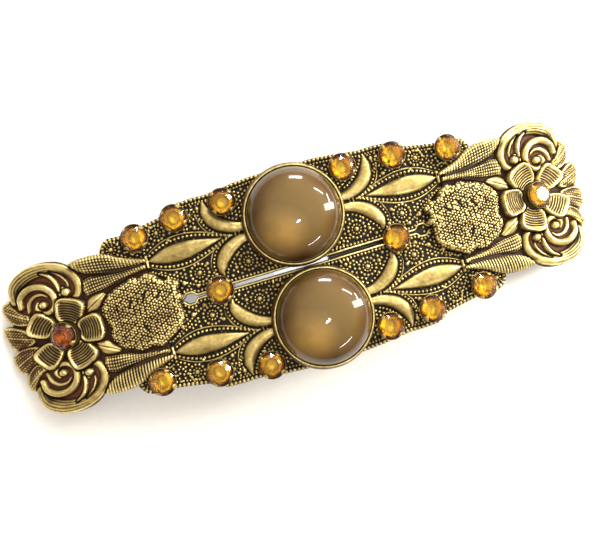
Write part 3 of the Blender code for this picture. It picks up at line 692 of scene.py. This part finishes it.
def scroll_lobe(relief, side):
    """Plate, then the bands that curl over it, each given by its path, half-widths, base, rise and extras."""
    plate = mirrored([(41.2, 6.2), (40.4, 8.4), (41.1, 11.2), (43.3, 13.4), (46.2, 14.35), (49.3, 14.2),
                      (52.0, 12.6), (53.5, 10.1), (53.2, 7.8), (51.0, 5.6), (47.0, 4.6), (43.6, 5.2)], side)
    w, s = relief.polygon(closed_path(plate))
    relief.stamp(w, s, 0.42 + 0.35 * np.clip(s / 1.6, 0, 1), 0.1, 0.9, shade=-0.2)
    big = [(52.7, 8.7), (52.1, 11.2), (49.6, 12.8), (46.5, 13.1), (43.8, 12.4), (41.9, 10.9), (41.1, 8.9),
           (41.5, 7.0), (42.8, 6.2), (44.1, 6.6), (44.5, 7.8), (43.9, 8.6)]
    small = [(51.9, 7.2), (51.5, 9.0), (49.8, 10.2), (47.7, 10.1), (46.2, 8.9), (45.6, 7.2), (45.9, 5.8),
             (47.1, 5.0), (48.5, 5.2), (49.1, 6.3), (48.7, 7.2)]
    inner = [(50.9, 6.0), (50.4, 7.6), (49.2, 8.6), (47.8, 8.6), (46.9, 7.8)]
    vanes = ([(46.9, 12.4), (45.5, 11.4), (44.75, 9.9), (44.6, 8.3)],
             [(45.2, 12.2), (43.7, 11.0), (42.9, 9.6), (42.9, 8.6)])
    for path, widths, base, rise, extras in (
        (big, (0.9, 1.2, 1.42, 1.35, 1.2, 1.0, 0.88, 0.8, 0.7, 0.6, 0.5, 0.35), 0.6, 1.25,
         {"grooves": (0.62 * side, 0.3 * side, -0.12 * side, -0.52 * side), "groove_depth": 0.2}),
        (vanes[0], (0.25, 0.42, 0.42, 0.25), 0.55, 1.0, {"depth": 0.6}),
        (vanes[1], (0.12, 0.24, 0.24, 0.12), 0.5, 0.75, {"depth": 0.6}),
        (small, (0.45, 0.62, 0.72, 0.72, 0.68, 0.64, 0.6, 0.55, 0.5, 0.42, 0.3), 0.75, 1.15,
         {"grooves": (0.45 * side, -0.2 * side), "groove_depth": 0.13}),
        (inner, (0.25, 0.42, 0.42, 0.35, 0.15), 0.6, 0.6, {"shine": 0.45}),
    ):
        relief.band(curve(path, side), widths, base, rise, **extras)
    for at, r in (((43.5, 7.75), 0.78), ((47.9, 6.6), 0.74)):
        at = (at[0], at[1] * side)
        w = relief.around([at], 1.4)
        d = relief.distance(w, at)
        relief.stamp(w, r - d, 0.9 + 0.85 * domed(d / r), 0.9, 0.1, groove=0.3)


def flower(relief):
    """Five cupped petals with fine curved ridges inside a plain rim, and a flat seat for the cup."""
    petals = ((142, 4.55, 0.9), (-142, 4.55, 0.9), (65, 4.5, 1.0), (-65, 4.5, 1.0), (0, 4.7, 1.0))
    for degrees, radial, size in petals:
        angle = math.pi - math.radians(degrees)
        w = relief.window(FLOWER[0] - 8, FLOWER[0] + 8, -8, 8)
        u, v = relief.U[w], relief.V[w]
        s, r, t, d = rounded_square(u, v, FLOWER, angle, radial, 2.45 * size, 2.7 * size)
        rim = stroke(np.clip(s, 0, 9) - 0.26, 0.2)
        field = np.clip((s - 0.5) / 0.12, 0, 1)
        ridges = wave((d + 0.06 * t) / 0.48)
        cup = 0.85 + 0.22 * (r - 2.4) + 0.05 * t**2
        height = cup + 0.35 * rim + field * 0.2 * (ridges - 0.5) - 0.06 * field
        shine = 0.9 * rim * (1 - 0.7 * field) + 0.1 * field * ridges
        relief.stamp(w, s, height, shine, 0.15, shade=0.6 * field * (ridges - 0.75), groove=0.4, depth=0.9)
    w = relief.around([FLOWER], 4)
    d = relief.distance(w, FLOWER)
    relief.stamp(w, 2.5 - d, np.full(d.shape, 0.75), 0.1, 0.2, groove=0.3)


def end_relief():
    """One end stamping. What is laid later covers what lies under it, so the order counts."""
    relief = Relief(22.0, 58.6, -15.4, 15.4)
    rng = np.random.default_rng(11)
    relief.h[:] = GROUND
    # thin web that ties the leaves, the lobes and the flower together
    web = [(30, 9.2), (36, 11.5), (41, 12.0), (46, 13.6), (51.5, 11.6), (53.6, 8.2), (55.2, 4), (55.2, -4),
           (53.2, -7.8), (51.5, -11.6), (46, -13.6), (41, -12.0), (36, -11.5), (30, -9.2), (28.5, -8.2),
           (29, -5.4), (34, -4.5), (34, 4.5), (29, 5.4), (28.5, 8.2)]
    w, s = relief.polygon(web)
    relief.stamp(w, s, np.full(s.shape, 0.28), 0.0, 0.3, shade=-0.45)
    tip_leaves(relief)
    for side in (1, -1):
        side_leaves(relief, side)
    grained_lobe(relief, rng)
    for side in (1, -1):
        split_bud(relief, side)
        scroll_lobe(relief, side)
    flower(relief)
    return relief


def end_stamping(name, relief, side):
    """The masked relief as one closed skin of top, hollow back and rim, laid on the arch at that end."""
    fine, coarse = 0.108, 0.142  # finer would pass 200,000 triangles
    u = np.concatenate([np.arange(22.8, 38.4, fine), np.arange(38.4, 58.0, coarse)])
    spans = (-14.9, -7.3, coarse), (-7.3, 7.3, fine), (7.3, 15.0, coarse)
    v = np.concatenate([np.arange(*span) for span in spans])
    U, V = np.meshgrid(u, v, indexing="ij")
    S = relief.sample(relief.inside, U, V)
    cell = (S[:-1, :-1] + S[1:, :-1] + S[:-1, 1:] + S[1:, 1:]) / 4 > 0
    for _ in range(4):  # fill cells that would touch only at a corner
        a, b, c, d = cell[:-1, :-1], cell[1:, :-1], cell[:-1, 1:], cell[1:, 1:]
        cross = (a & d & ~b & ~c) | (b & c & ~a & ~d)
        if not cross.any():
            break
        i, j = np.nonzero(cross)
        cell[i, j] = cell[i + 1, j] = True
    count = np.zeros(U.shape, int)
    for di in (0, 1):
        for dj in (0, 1):
            count[di : count.shape[0] - 1 + di, dj : count.shape[1] - 1 + dj] += cell
    used = count > 0
    border = used & (count < 4)
    gu, gv = np.gradient(relief.inside, relief.pitch)
    for _ in range(3):  # slide the border onto the outline
        s = relief.sample(relief.inside, U, V)
        a, b = relief.sample(gu, U, V), relief.sample(gv, U, V)
        slope = np.maximum(np.hypot(a, b), 0.3)
        step = np.clip(-s / slope, -0.06, 0.06)
        U = np.where(border, U + step * a / slope, U)
        V = np.where(border, V + step * b / slope, V)
    index = np.full(used.shape, -1)
    index[used] = np.arange(used.sum())
    n = int(used.sum())
    U, V = U[used], V[used]
    tone = relief.tone(0.6, 0.38)
    h = relief.sample(relief.h, U, V)
    hollow = np.clip(relief.sample(blurred(relief.h, 14), U, V) - 0.55, 0, None)
    hollow = np.minimum(hollow, h - 0.1) * ~border[used]
    stations = np.array(STATIONS)
    x = side * np.interp(U, stations[:, 0], stations[:, 1])
    points = np.vstack([on_arch(x, V, END_LEVEL + h), on_arch(x, V, END_LEVEL + hollow)])
    i, j = np.nonzero(cell)
    top = np.stack([index[i, j], index[i + 1, j], index[i + 1, j + 1], index[i, j + 1]], axis=1)
    ends = np.concatenate([top[:, [0, 1]], top[:, [1, 2]], top[:, [2, 3]], top[:, [3, 0]]])
    key, reverse = ends[:, 0] * n + ends[:, 1], ends[:, 1] * n + ends[:, 0]
    rim = ends[~np.isin(key, reverse)]
    walls = np.stack([rim[:, 1], rim[:, 0], rim[:, 0] + n, rim[:, 1] + n], axis=1)
    quads = np.vstack([top, top[:, ::-1] + n, walls])
    if side < 0:
        quads = quads[:, ::-1]
    smooth = np.concatenate([np.ones(2 * len(top)), np.zeros(len(walls))])
    warm = relief.sample(relief.warm, U, V) * (0.5 if side > 0 else 0.9)  # the left end is the redder
    attributes = {
        "tone": np.concatenate([relief.sample(tone, U, V), np.full(n, 0.4)]),
        "warm": np.concatenate([warm, np.full(n, 0.3)]),
    }
    return make_object(name, points, quads, (), smooth, attributes)


# ---------------------------------------------------------------- stones and cups


def cabochon(name, matrix, sides=128):
    """Domed stone: a flat foot, a short wall and a full dome, closed by a fan at each pole."""
    r, girdle = CAB_RADIUS, CAB_GIRDLE
    profile = [(r - 0.25, 0), (r - 0.05, 0.2), (r, 0.6), (r, girdle)]
    for degrees in np.linspace(4, 86, 40):
        t = math.radians(degrees)
        profile.append((r * math.cos(t) ** DOME_POWER, girdle + (CAB_HEIGHT - girdle) * math.sin(t)))
    radius, z = np.array(profile).T
    a = turn_angles(sides)[:, None]
    points = np.stack([radius * np.cos(a), radius * np.sin(a), z + 0 * a], axis=-1).reshape(-1, 3)
    points = np.vstack([points, [0, 0, 0], [0, 0, CAB_HEIGHT]])
    n, foot, crown = len(profile), len(points) - 2, len(points) - 1
    fans = [(foot, ((k + 1) % sides) * n, k * n) for k in range(sides)]
    fans += [(crown, k * n + n - 1, ((k + 1) % sides) * n + n - 1) for k in range(sides)]
    return make_object(name, points, turned_quads(sides, n, loop=False), fans, matrix=matrix)


def bezel(name, matrix, seed, sides=180):
    """Plain cup for a domed stone: a thin bright lip over a darker wall, very slightly out of round."""
    rows = np.array((  # radius, height, tone
        (9.62, 0.12, 0.2), (9.5, 0.0, 0.2), (8.9, 0.0, 0.2), (8.75, 0.15, 0.2), (8.75, 0.42, 0.2),
        (9.12, 0.5, 0.2), (9.14, 1.7, 0.2), (9.03, 2.1, 0.35), (8.98, 2.26, 0.6), (9.04, 2.38, 0.85),
        (9.18, 2.42, 0.92), (9.34, 2.34, 0.66), (9.44, 2.12, 0.45), (9.5, 1.8, 0.38), (9.56, 1.3, 0.36),
        (9.6, 0.95, 0.34), (9.68, 0.86, 0.5), (9.72, 0.72, 0.55), (9.68, 0.58, 0.45), (9.6, 0.5, 0.25),
    ))
    rng = np.random.default_rng(seed)
    a = turn_angles(sides)
    waves = sum(rng.normal() * np.cos(k * a + rng.uniform(0, 6.28)) / k for k in (2, 3, 5, 7, 11, 17))
    a, waves = a[:, None], waves[:, None] * 0.022
    radius = rows[:, 0] + waves
    points = np.stack([radius * np.cos(a), radius * np.sin(a), rows[:, 1] + 0 * radius], axis=-1)
    return brass_ring(name, points, np.tile(rows[:, 2], sides), matrix)


def prong_cup(name, matrix, seed, sides=96):
    """Flared cup whose rim is cut into four prongs that lean over the stone."""
    rng = np.random.default_rng(seed)
    a = turn_angles(sides)
    turn = rng.uniform(-0.25, 0.25) + math.radians(45)
    near = np.abs((a - turn + math.pi / 4) % (math.pi / 2) - math.pi / 4)
    prong = np.clip(1 - (near / 0.24) ** 4, 0, 1)[:, None]
    scallop = 0.5 + 0.5 * np.cos((a[:, None] - turn) * 16)
    top = 1.5 + 0.1 * scallop * (1 - prong) + 0.75 * prong
    rim = 2.63 - 0.02 * scallop
    wall, inward = 0.18, 0.45 * prong
    profile = (  # radius, height, tone between prongs, tone on a prong
        (1.95, 0.0, 0.2, 0.2), (2.15, 0.05, 0.2, 0.2), (2.2, 0.3, 0.3, 0.3), (2.12, 0.5, 0.22, 0.22),
        (2.45, 0.9, 0.42, 0.42), (rim, 1.25, 0.55, 0.6), (rim - 0.1 * prong, top * 0.9, 0.6, 0.7),
        (rim - inward, top, 0.62, 0.85), (rim - inward - wall * 0.8, top - 0.05, 0.5, 0.75),
        (rim - wall - inward * 0.5, top * 0.88, 0.25, 0.4), (rim - wall, 1.2, 0.12, 0.15),
        (2.2, 0.85, 0.1, 0.1), (1.9, 0.42, 0.1, 0.1), (1.7, 0.3, 0.2, 0.2),
    )
    radius, z, low, high = (np.hstack([value + 0 * prong for value in column]) for column in zip(*profile))
    points = np.stack([radius * np.cos(a)[:, None], radius * np.sin(a)[:, None], z], axis=-1)
    return brass_ring(name, points, low * (1 - prong) + high * prong, matrix)


def crystal(name, matrix, spin):
    """Round faceted stone, and how many of its faces, the last ones, are the pavilion's."""
    girdle, table = CRYSTAL_RADIUS, 1.45
    eighth = math.pi / 8
    points = [(0, 0, 0.02)]

    def ring(radius, z, count, start):
        first = len(points)
        for k in range(count):
            t = spin + start + 2 * math.pi * k / count
            points.append((radius * math.cos(t), radius * math.sin(t), z))
        return [first + k for k in range(count)]

    low = ring(girdle, 1.2, 16, 0)
    high = ring(girdle, 1.38, 16, 0)
    middle = ring(2.0, 1.74, 8, eighth)
    top = ring(table, 2.15, 8, 0)
    faces = [top]
    for k in range(8):
        n = (k + 1) % 8
        faces.append([top[k], middle[k], top[n]])
        faces.append([top[k], middle[k - 1], high[2 * k], middle[k]])
        faces.append([middle[k], high[2 * k], high[2 * k + 1]])
        faces.append([middle[k], high[2 * k + 1], high[(2 * k + 2) % 16]])
    for k in range(16):
        n = (k + 1) % 16
        faces.append([low[k], low[n], high[n], high[k]])
    foil = [[0, low[(2 * k + 2) % 16], low[2 * k + 1], low[2 * k]] for k in range(8)]
    faces += foil
    return make_object(name, points, [], faces, np.zeros(len(faces)), matrix=matrix), len(foil)


# ---------------------------------------------------------------- finishes


def new_material(name):
    """Material, node tree, shader and object coordinates."""
    material = bpy.data.materials.new(name)
    material.use_nodes = True
    tree = material.node_tree
    position = tree.nodes.new("ShaderNodeTexCoord").outputs["Object"]
    return material, tree, tree.nodes["Principled BSDF"], position


def set_inputs(shader, values):
    for key, value in values.items():
        shader.inputs[key].default_value = value


def link(tree, a, b):
    tree.links.new(a, b)


def noise(tree, coordinates, scale, detail=3.0, roughness=0.6):
    node = tree.nodes.new("ShaderNodeTexNoise")
    node.inputs["Scale"].default_value = scale
    node.inputs["Detail"].default_value = detail
    node.inputs["Roughness"].default_value = roughness
    link(tree, coordinates, node.inputs["Vector"])
    return node.outputs["Fac"]


def maths(tree, operation, a, b, c=None, clamp=False):
    node = tree.nodes.new("ShaderNodeMath")
    node.operation = operation
    node.use_clamp = clamp
    for socket, value in zip(node.inputs, (a, b, c)):
        if value is None:
            continue
        if isinstance(value, (int, float)):
            socket.default_value = value
        else:
            link(tree, value, socket)
    return node.outputs[0]


def hypotenuse(tree, x, y):
    return maths(tree, "POWER", maths(tree, "MULTIPLY_ADD", x, x, maths(tree, "MULTIPLY", y, y)), 0.5)


def ramp(tree, fac, stops):
    node = tree.nodes.new("ShaderNodeValToRGB")
    elements = node.color_ramp.elements
    while len(elements) < len(stops):
        elements.new(0.5)
    for element, (at, colour) in zip(elements, stops):
        element.position = at
        element.color = (*colour, 1) if len(colour) == 3 else colour
    link(tree, fac, node.inputs["Fac"])
    return node.outputs["Color"]


def mix(tree, fac, a, b, blend="MIX"):
    node = tree.nodes.new("ShaderNodeMix")
    node.data_type = "RGBA"
    node.blend_type = blend
    for socket, value in ((node.inputs[0], fac), (node.inputs[6], a), (node.inputs[7], b)):
        if isinstance(value, (int, float)):
            socket.default_value = value
        elif isinstance(value, tuple):
            socket.default_value = (*value, 1)
        else:
            link(tree, value, socket)
    return node.outputs[2]


def bump(tree, height, distance, strength, shader):
    node = tree.nodes.new("ShaderNodeBump")
    node.inputs["Distance"].default_value = distance * MM
    node.inputs["Strength"].default_value = strength
    link(tree, height, node.inputs["Height"])
    link(tree, node.outputs["Normal"], shader.inputs["Normal"])


BRASS_RAMP = (
    (0.0, (0.006, 0.004, 0.002)),
    (0.28, (0.019, 0.013, 0.005)),
    (0.52, (0.145, 0.096, 0.030)),
    (0.78, (0.50, 0.375, 0.130)),
    (1.0, (0.88, 0.74, 0.345)),
)


def antique_brass(name):
    """Brass whose recesses keep a dark oxide. The patina, with the painted shade mixed into it, follows each
    mesh's tone attribute.
    """
    material, tree, shader, position = new_material(name)
    blotch = noise(tree, position, 420, 5, 0.72)
    fine = noise(tree, position, 1700, 4, 0.65)
    tone = tree.nodes.new("ShaderNodeAttribute")
    tone.attribute_name = "tone"
    warm = tree.nodes.new("ShaderNodeAttribute")
    warm.attribute_name = "warm"
    shifted = maths(tree, "MULTIPLY_ADD", blotch, 0.62, -0.33)
    shifted = maths(tree, "ADD", tone.outputs["Fac"], shifted)
    shifted = maths(tree, "MULTIPLY_ADD", fine, 0.34, shifted)
    shifted = maths(tree, "SUBTRACT", shifted, 0.17, clamp=True)
    colour = ramp(tree, shifted, BRASS_RAMP)
    recess = maths(tree, "SUBTRACT", 0.85, shifted, clamp=True)
    amount = maths(tree, "MULTIPLY", recess, warm.outputs["Fac"])
    amount = maths(tree, "MULTIPLY", amount, 1.5, clamp=True)
    colour = mix(tree, amount, colour, (0.12, 0.038, 0.015))
    link(tree, colour, shader.inputs["Base Color"])
    link(tree, maths(tree, "MULTIPLY_ADD", shifted, 0.6, 0.4, clamp=True), shader.inputs["Metallic"])
    rough = maths(tree, "MULTIPLY_ADD", shifted, -0.38, 0.68)
    rough = maths(tree, "MULTIPLY_ADD", fine, 0.2, rough)
    link(tree, maths(tree, "SUBTRACT", rough, 0.08), shader.inputs["Roughness"])
    both = maths(tree, "MULTIPLY_ADD", blotch, 0.6, fine)
    bump(tree, both, 0.03, 0.6, shader)
    return material


# caramel with painted shade: it darkens towards the girdle, where the dome turns from the light
CARAMEL_WITH_GIRDLE_SHADE = (  # from the middle out to the girdle
    (0.0, (0.125, 0.074, 0.0165)),
    (0.56, (0.118, 0.068, 0.0140)),
    (0.72, (0.085, 0.040, 0.0065)),
    (0.86, (0.045, 0.016, 0.0022)),
    (1.0, (0.012, 0.004, 0.0008)),
)


def greys(*stops):
    return [(at, (level,) * 3) for at, level in stops]


def caramel_glass(name):
    """Cloudy caramel stone under a clear polish, with painted shade darkening it round the girdle and a
    painted glow of light through the dome, paler low on one side.
    """
    material, tree, shader, position = new_material(name)
    split = tree.nodes.new("ShaderNodeSeparateXYZ")
    link(tree, position, split.inputs[0])
    x, y = split.outputs[:2]

    def distance(cx, cy, scale):
        dx = maths(tree, "MULTIPLY_ADD", x, 1 / (scale * MM), -cx / scale)
        dy = maths(tree, "MULTIPLY_ADD", y, 1 / (scale * MM), -cy / scale)
        return hypotenuse(tree, dx, dy)

    cloud = noise(tree, position, 190, 3, 0.5)
    soft = noise(tree, position, 75, 2, 0.5)
    # painted shade round the girdle, centred a little off the stone's middle
    rim = maths(tree, "ADD", distance(0.2, 0.2, CAB_RADIUS), maths(tree, "MULTIPLY_ADD", soft, 0.16, -0.08))
    body = ramp(tree, rim, CARAMEL_WITH_GIRDLE_SHADE)
    # painted glow: light passing through the dome, painted paler low on one side
    paler = maths(tree, "SUBTRACT", distance(-3.7, -2.9, 5.6), 0.15)
    paler = maths(tree, "MULTIPLY_ADD", cloud, 0.30, paler)
    lit = ramp(tree, paler, greys((0.0, 1), (0.35, 0.75), (0.75, 0.2), (1.0, 0)))
    colour = mix(tree, lit, body, (0.330, 0.190, 0.042))
    veil = ramp(tree, cloud, greys((0.35, 0), (0.62, 0.35)))
    colour = mix(tree, veil, colour, (0.140, 0.085, 0.022))
    link(tree, colour, shader.inputs["Base Color"])
    set_inputs(shader, {
        "Roughness": 0.32,
        "Specular IOR Level": 0.1,
        "Subsurface Weight": 0.12,
        "Subsurface Radius": (1.0, 0.55, 0.25),
        "Subsurface Scale": 1.6 * MM,
        "Coat Weight": 1.0,
        "Coat Roughness": 0.025,
        "Coat IOR": 1.42,
    })
    bump(tree, soft, 0.02, 0.15, shader)
    return material


def amber_glass(name):
    """Clear amber, not quite smooth: a perfect polish would catch the small lights as white specks."""
    material, tree, shader, position = new_material(name)
    smudge = noise(tree, position, 700, 2, 0.5)
    colour = ramp(tree, smudge, ((0.3, (0.98, 0.89, 0.38)), (0.7, (0.99, 0.92, 0.46))))
    link(tree, colour, shader.inputs["Base Color"])
    set_inputs(shader, {"Roughness": 0.035, "Transmission Weight": 1.0, "IOR": 1.48})
    return material


# foil colours from the middle out to the girdle; the dark red-brown outer stops are painted shade
GOLD_FOIL_SHADED_TO_GIRDLE = (
    (0.0, (1.0, 0.72, 0.045)),
    (0.68, (1.0, 0.58, 0.020)),
    (0.78, (0.45, 0.14, 0.010)),
    (1.0, (0.06, 0.014, 0.005)),
)
RED_FOIL_SHADED_TO_GIRDLE = (
    (0.0, (0.62, 0.20, 0.014)),
    (0.45, (0.50, 0.10, 0.012)),
    (0.76, (0.22, 0.035, 0.008)),
    (1.0, (0.05, 0.012, 0.005)),
)


def amber_foil(name, stops):
    """Foil behind a crystal, with painted shade turning it red-brown towards the girdle and painted glints in
    patches.
    """
    material, tree, shader, position = new_material(name)
    wear_and_painted_glints = noise(tree, position, 650, 2, 0.5)
    split = tree.nodes.new("ShaderNodeSeparateXYZ")
    link(tree, position, split.inputs[0])
    x, y = (maths(tree, "MULTIPLY", c, 1 / (2.3 * MM)) for c in split.outputs[:2])
    radius = maths(tree, "SUBTRACT", hypotenuse(tree, x, y), 0.37)
    # the noise moves the ramp in patches, for painted glints and dark facets; it also varies the roughness
    radius = maths(tree, "MULTIPLY_ADD", wear_and_painted_glints, 0.7, radius)
    link(tree, ramp(tree, radius, stops), shader.inputs["Base Color"])
    shader.inputs["Metallic"].default_value = 0.75
    link(tree, maths(tree, "MULTIPLY_ADD", wear_and_painted_glints, 0.10, 0.12), shader.inputs["Roughness"])
    return material


def nickel_steel(name):
    """Plated spring steel, rolled lengthwise and lightly stained."""
    material, tree, shader, position = new_material(name)
    stretch = tree.nodes.new("ShaderNodeMapping")
    stretch.inputs["Scale"].default_value = (0.06, 1, 1)
    link(tree, position, stretch.inputs["Vector"])
    rolled = noise(tree, stretch.outputs[0], 2600, 3, 0.6)
    stain = noise(tree, position, 160, 4, 0.6)
    stains = (0.3, (0.33, 0.34, 0.365)), (0.62, (0.43, 0.44, 0.475)), (0.8, (0.28, 0.275, 0.27))
    link(tree, ramp(tree, stain, stains), shader.inputs["Base Color"])
    shader.inputs["Metallic"].default_value = 1.0
    link(tree, maths(tree, "MULTIPLY_ADD", rolled, 0.18, 0.16), shader.inputs["Roughness"])
    bump(tree, rolled, 0.01, 0.12, shader)
    return material


def dress(obj, *materials):
    obj.data.materials.clear()
    for material in materials:
        obj.data.materials.append(material)


def foil_back(obj, count):
    """The last faces of a crystal take its second material."""
    for face in obj.data.polygons[-count:]:
        face.material_index = 1


# ---------------------------------------------------------------- the object

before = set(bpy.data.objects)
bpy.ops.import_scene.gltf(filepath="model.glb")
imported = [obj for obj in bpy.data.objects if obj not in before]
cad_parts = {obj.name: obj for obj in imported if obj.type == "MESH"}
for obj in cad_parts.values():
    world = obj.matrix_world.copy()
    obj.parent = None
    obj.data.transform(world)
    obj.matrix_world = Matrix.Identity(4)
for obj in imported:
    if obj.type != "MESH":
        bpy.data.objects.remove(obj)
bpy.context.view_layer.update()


brass = antique_brass("antique_brass_relief")
caramel = caramel_glass("caramel_glass")
glass = amber_glass("amber_crystal_glass")
foil = amber_foil("amber_crystal_foil", GOLD_FOIL_SHADED_TO_GIRDLE)
# the left flower stone gets a redder, darker foil
red_foil = amber_foil("amber_crystal_foil_red_brown", RED_FOIL_SHADED_TO_GIRDLE)
nickel = nickel_steel("nickel_steel")


def add(obj, node, slot, *materials, body="barrette"):
    dress(obj, *materials)
    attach(obj, body)
    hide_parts(node)


relief = strip_relief()
for which, side in (("upper", 1), ("lower", -1)):
    node = "strip_" + which
    add(filigree_strip("filigree_" + node, relief, side), node, "antique_brass", brass)
    x, y = CAB_SHIFT[0], side * CAB_Y + CAB_SHIFT[1]
    seat_at = seat(x, y, STONE_LEVEL)
    add(bezel("burnished_bezel_" + which, seat_at, 3 + side), "bezel_" + which, "antique_brass", brass)
    stone_at = seat(x, y, STONE_LEVEL + CAB_SEAT)
    add(cabochon("domed_cabochon_" + which, stone_at), "cabochon_" + which, "caramel_glass", caramel)

relief = end_relief()
for which, side in (("right", 1), ("left", -1)):
    node = "end_stamping_" + which
    add(end_stamping("floral_" + node, relief, side), node, "antique_brass", brass)

spots = {
    f"{corner}_{n + 1}": (*at, STONE_LEVEL) for corner, row in EDGE_STONES.items() for n, at in enumerate(row)
}
for which, side in (("left", -1), ("right", 1)):
    spots["middle_" + which] = (side * MIDDLE_STONE_X, 0, STONE_LEVEL)
    spots["flower_" + which] = (side * FLOWER_X, 0, FLOWER_CUP_LEVEL)
for n, (name, (x, y, level)) in enumerate(spots.items()):
    add(prong_cup("pronged_cup_" + name, seat(x, y, level), 20 + n), "cup_" + name, "antique_brass", brass)
    stone, pavilion = crystal("faceted_crystal_" + name, seat(x, y, level + CRYSTAL_SEAT), 0.37 * n)
    add(stone, "crystal_" + name, "amber_crystal", glass, red_foil if name == "flower_left" else foil)
    foil_back(stone, pavilion)

for name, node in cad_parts.items():
    if not node.hide_render:
        dress(node, nickel)
        bevel = node.modifiers.new("eased edges", "BEVEL")
        bevel.width = 0.08 * MM
        bevel.segments = 2
        bevel.limit_method = "ANGLE"
        bevel.angle_limit = math.radians(40)

# ---------------------------------------------------------------- camera, floor and light

CAMERA_TILT = (math.radians(-5.7), math.radians(1.0))
CAMERA_ROLL = math.radians(-16.5)
CAMERA_DISTANCE = 235.0
VIEW_WIDTH = 112.27545  # millimetres across the picture, at the target
AIM_OFFSET = (-1.46, -1.44)

back = Vector((math.tan(CAMERA_TILT[0]), math.tan(CAMERA_TILT[1]), 1)).normalized()
level_right = Vector((0, 1, 0)).cross(back).normalized()
level_up = back.cross(level_right)
right = level_right * math.cos(CAMERA_ROLL) + level_up * math.sin(CAMERA_ROLL)
up = level_up * math.cos(CAMERA_ROLL) - level_right * math.sin(CAMERA_ROLL)
aim = Vector((0, 0, 12)) + right * AIM_OFFSET[0] + up * AIM_OFFSET[1]


def facing(place, x_axis, y_axis, z_axis):
    """Matrix with these axes at this place."""
    matrix = Matrix((x_axis, y_axis, z_axis)).transposed().to_4x4()
    matrix.translation = place * MM
    return matrix


camera_data = bpy.data.cameras.new("camera")
camera_data.sensor_width = 36
camera_data.lens = camera_data.sensor_width * CAMERA_DISTANCE / VIEW_WIDTH
camera_data.clip_start = 0.01
camera_data.clip_end = 20
camera = bpy.data.objects.new("camera", camera_data)
camera.matrix_world = facing(aim + back * CAMERA_DISTANCE, right, up, back)
bpy.context.scene.collection.objects.link(camera)
bpy.context.scene.camera = camera

floor = make_object("floor", [(-900, -900, 0), (900, -900, 0), (900, 900, 0), (-900, 900, 0)], [(0, 1, 2, 3)])
floor_material, tree, shader, position = new_material("paper_floor")
paper = ramp(tree, noise(tree, position, 900, 2, 0.5), ((0.3, (0.91, 0.90, 0.89)), (0.7, (0.94, 0.93, 0.92))))
link(tree, paper, shader.inputs["Base Color"])
set_inputs(shader, {"Roughness": 0.9})
dress(floor, floor_material)


def area_light(name, direction, distance, size, power, colour=(1, 1, 1), spin=0.0):
    """Soft panel in a direction given in the picture's own axes: right, up and towards the viewer."""
    way = (right * direction[0] + up * direction[1] + back * direction[2]).normalized()
    data = bpy.data.lights.new(name, "AREA")
    data.shape = "RECTANGLE"
    data.size, data.size_y = size[0] * MM, size[1] * MM
    data.energy = power
    data.color = colour
    obj = bpy.data.objects.new(name, data)
    side = Vector((0, 0, 1)).cross(way)
    side = side.normalized() if side.length > 0.05 else right
    tall = way.cross(side)
    x_axis = side * math.cos(spin) + tall * math.sin(spin)
    obj.matrix_world = facing(way * distance, x_axis, way.cross(x_axis), way)
    obj.visible_transmission = False  # narrow lights would only speckle the foil behind the crystals
    bpy.context.scene.collection.objects.link(obj)
    return obj


def mirrored_way(across, upward):
    """Direction whose light a cabochon mirrors to the viewer at these shares of its radius, right and up."""
    rho = max(math.hypot(across, upward), 1e-3)
    turn = math.acos(min(rho ** (1 / DOME_POWER), 0.999))
    tip = 2 * math.atan2(math.cos(turn) / CAB_RADIUS, math.sin(turn) / (CAB_HEIGHT - CAB_GIRDLE))
    return (math.sin(tip) * across / rho, math.sin(tip) * upward / rho, math.cos(tip))


area_light("window_top", mirrored_way(0.10, 0.78), 600, (190, 90), 2.0, (1.0, 1.0, 1.0))
area_light("window_right_a", mirrored_way(0.56, 0.50), 600, (170, 34), 1.0, (1.0, 0.99, 0.97), 0.5)
area_light("window_right_b", mirrored_way(0.74, 0.36), 600, (150, 34), 0.9, (1.0, 0.99, 0.97), -0.2)
area_light("lamp_glint", mirrored_way(0.22, -0.08), 600, (60, 22), 0.35, (1.0, 1.0, 1.0))
area_light("low_strip", mirrored_way(0.52, -0.52), 600, (230, 16), 0.55, (1.0, 1.0, 1.0))
area_light("near_right", (1.0, 0.30, 0.36), 210, (34, 120), 0.34, (1.0, 0.985, 0.86))
key = area_light("soft_key", (0.55, 0.85, 0.85), 900, (700, 560), 5.0, (0.985, 0.99, 1.0))
key.visible_glossy = False  # it lights the paper, and lays no white sheet over the polish

world = bpy.data.worlds.new("room")
world.use_nodes = True
tree = world.node_tree
ways = tree.nodes.new("ShaderNodeTexCoord").outputs["Generated"]
towards = tree.nodes.new("ShaderNodeVectorMath")
towards.operation = "DOT_PRODUCT"
link(tree, ways, towards.inputs[0])
towards.inputs[1].default_value = (right * 0.16 + up * 0.42 + back * 0.88).normalized()
room = (  # from behind the barrette round to the bright side of the room
    (0.0, (0.34, 0.27, 0.195)),
    (0.52, (0.54, 0.45, 0.350)),
    (0.72, (0.60, 0.535, 0.450)),
    (0.86, (1.1, 1.03, 0.90)),
    (1.0, (1.42, 1.33, 1.16)),
)
glow = ramp(tree, maths(tree, "MULTIPLY_ADD", towards.outputs["Value"], 0.5, 0.5), room)
link(tree, glow, tree.nodes["Background"].inputs["Color"])
tree.nodes["Background"].inputs["Strength"].default_value = 1.0
bpy.context.scene.world = world

bpy.context.scene.view_settings.view_transform = "Standard"
bpy.context.scene.view_settings.look = "None"
bpy.context.scene.view_settings.exposure = 0.0
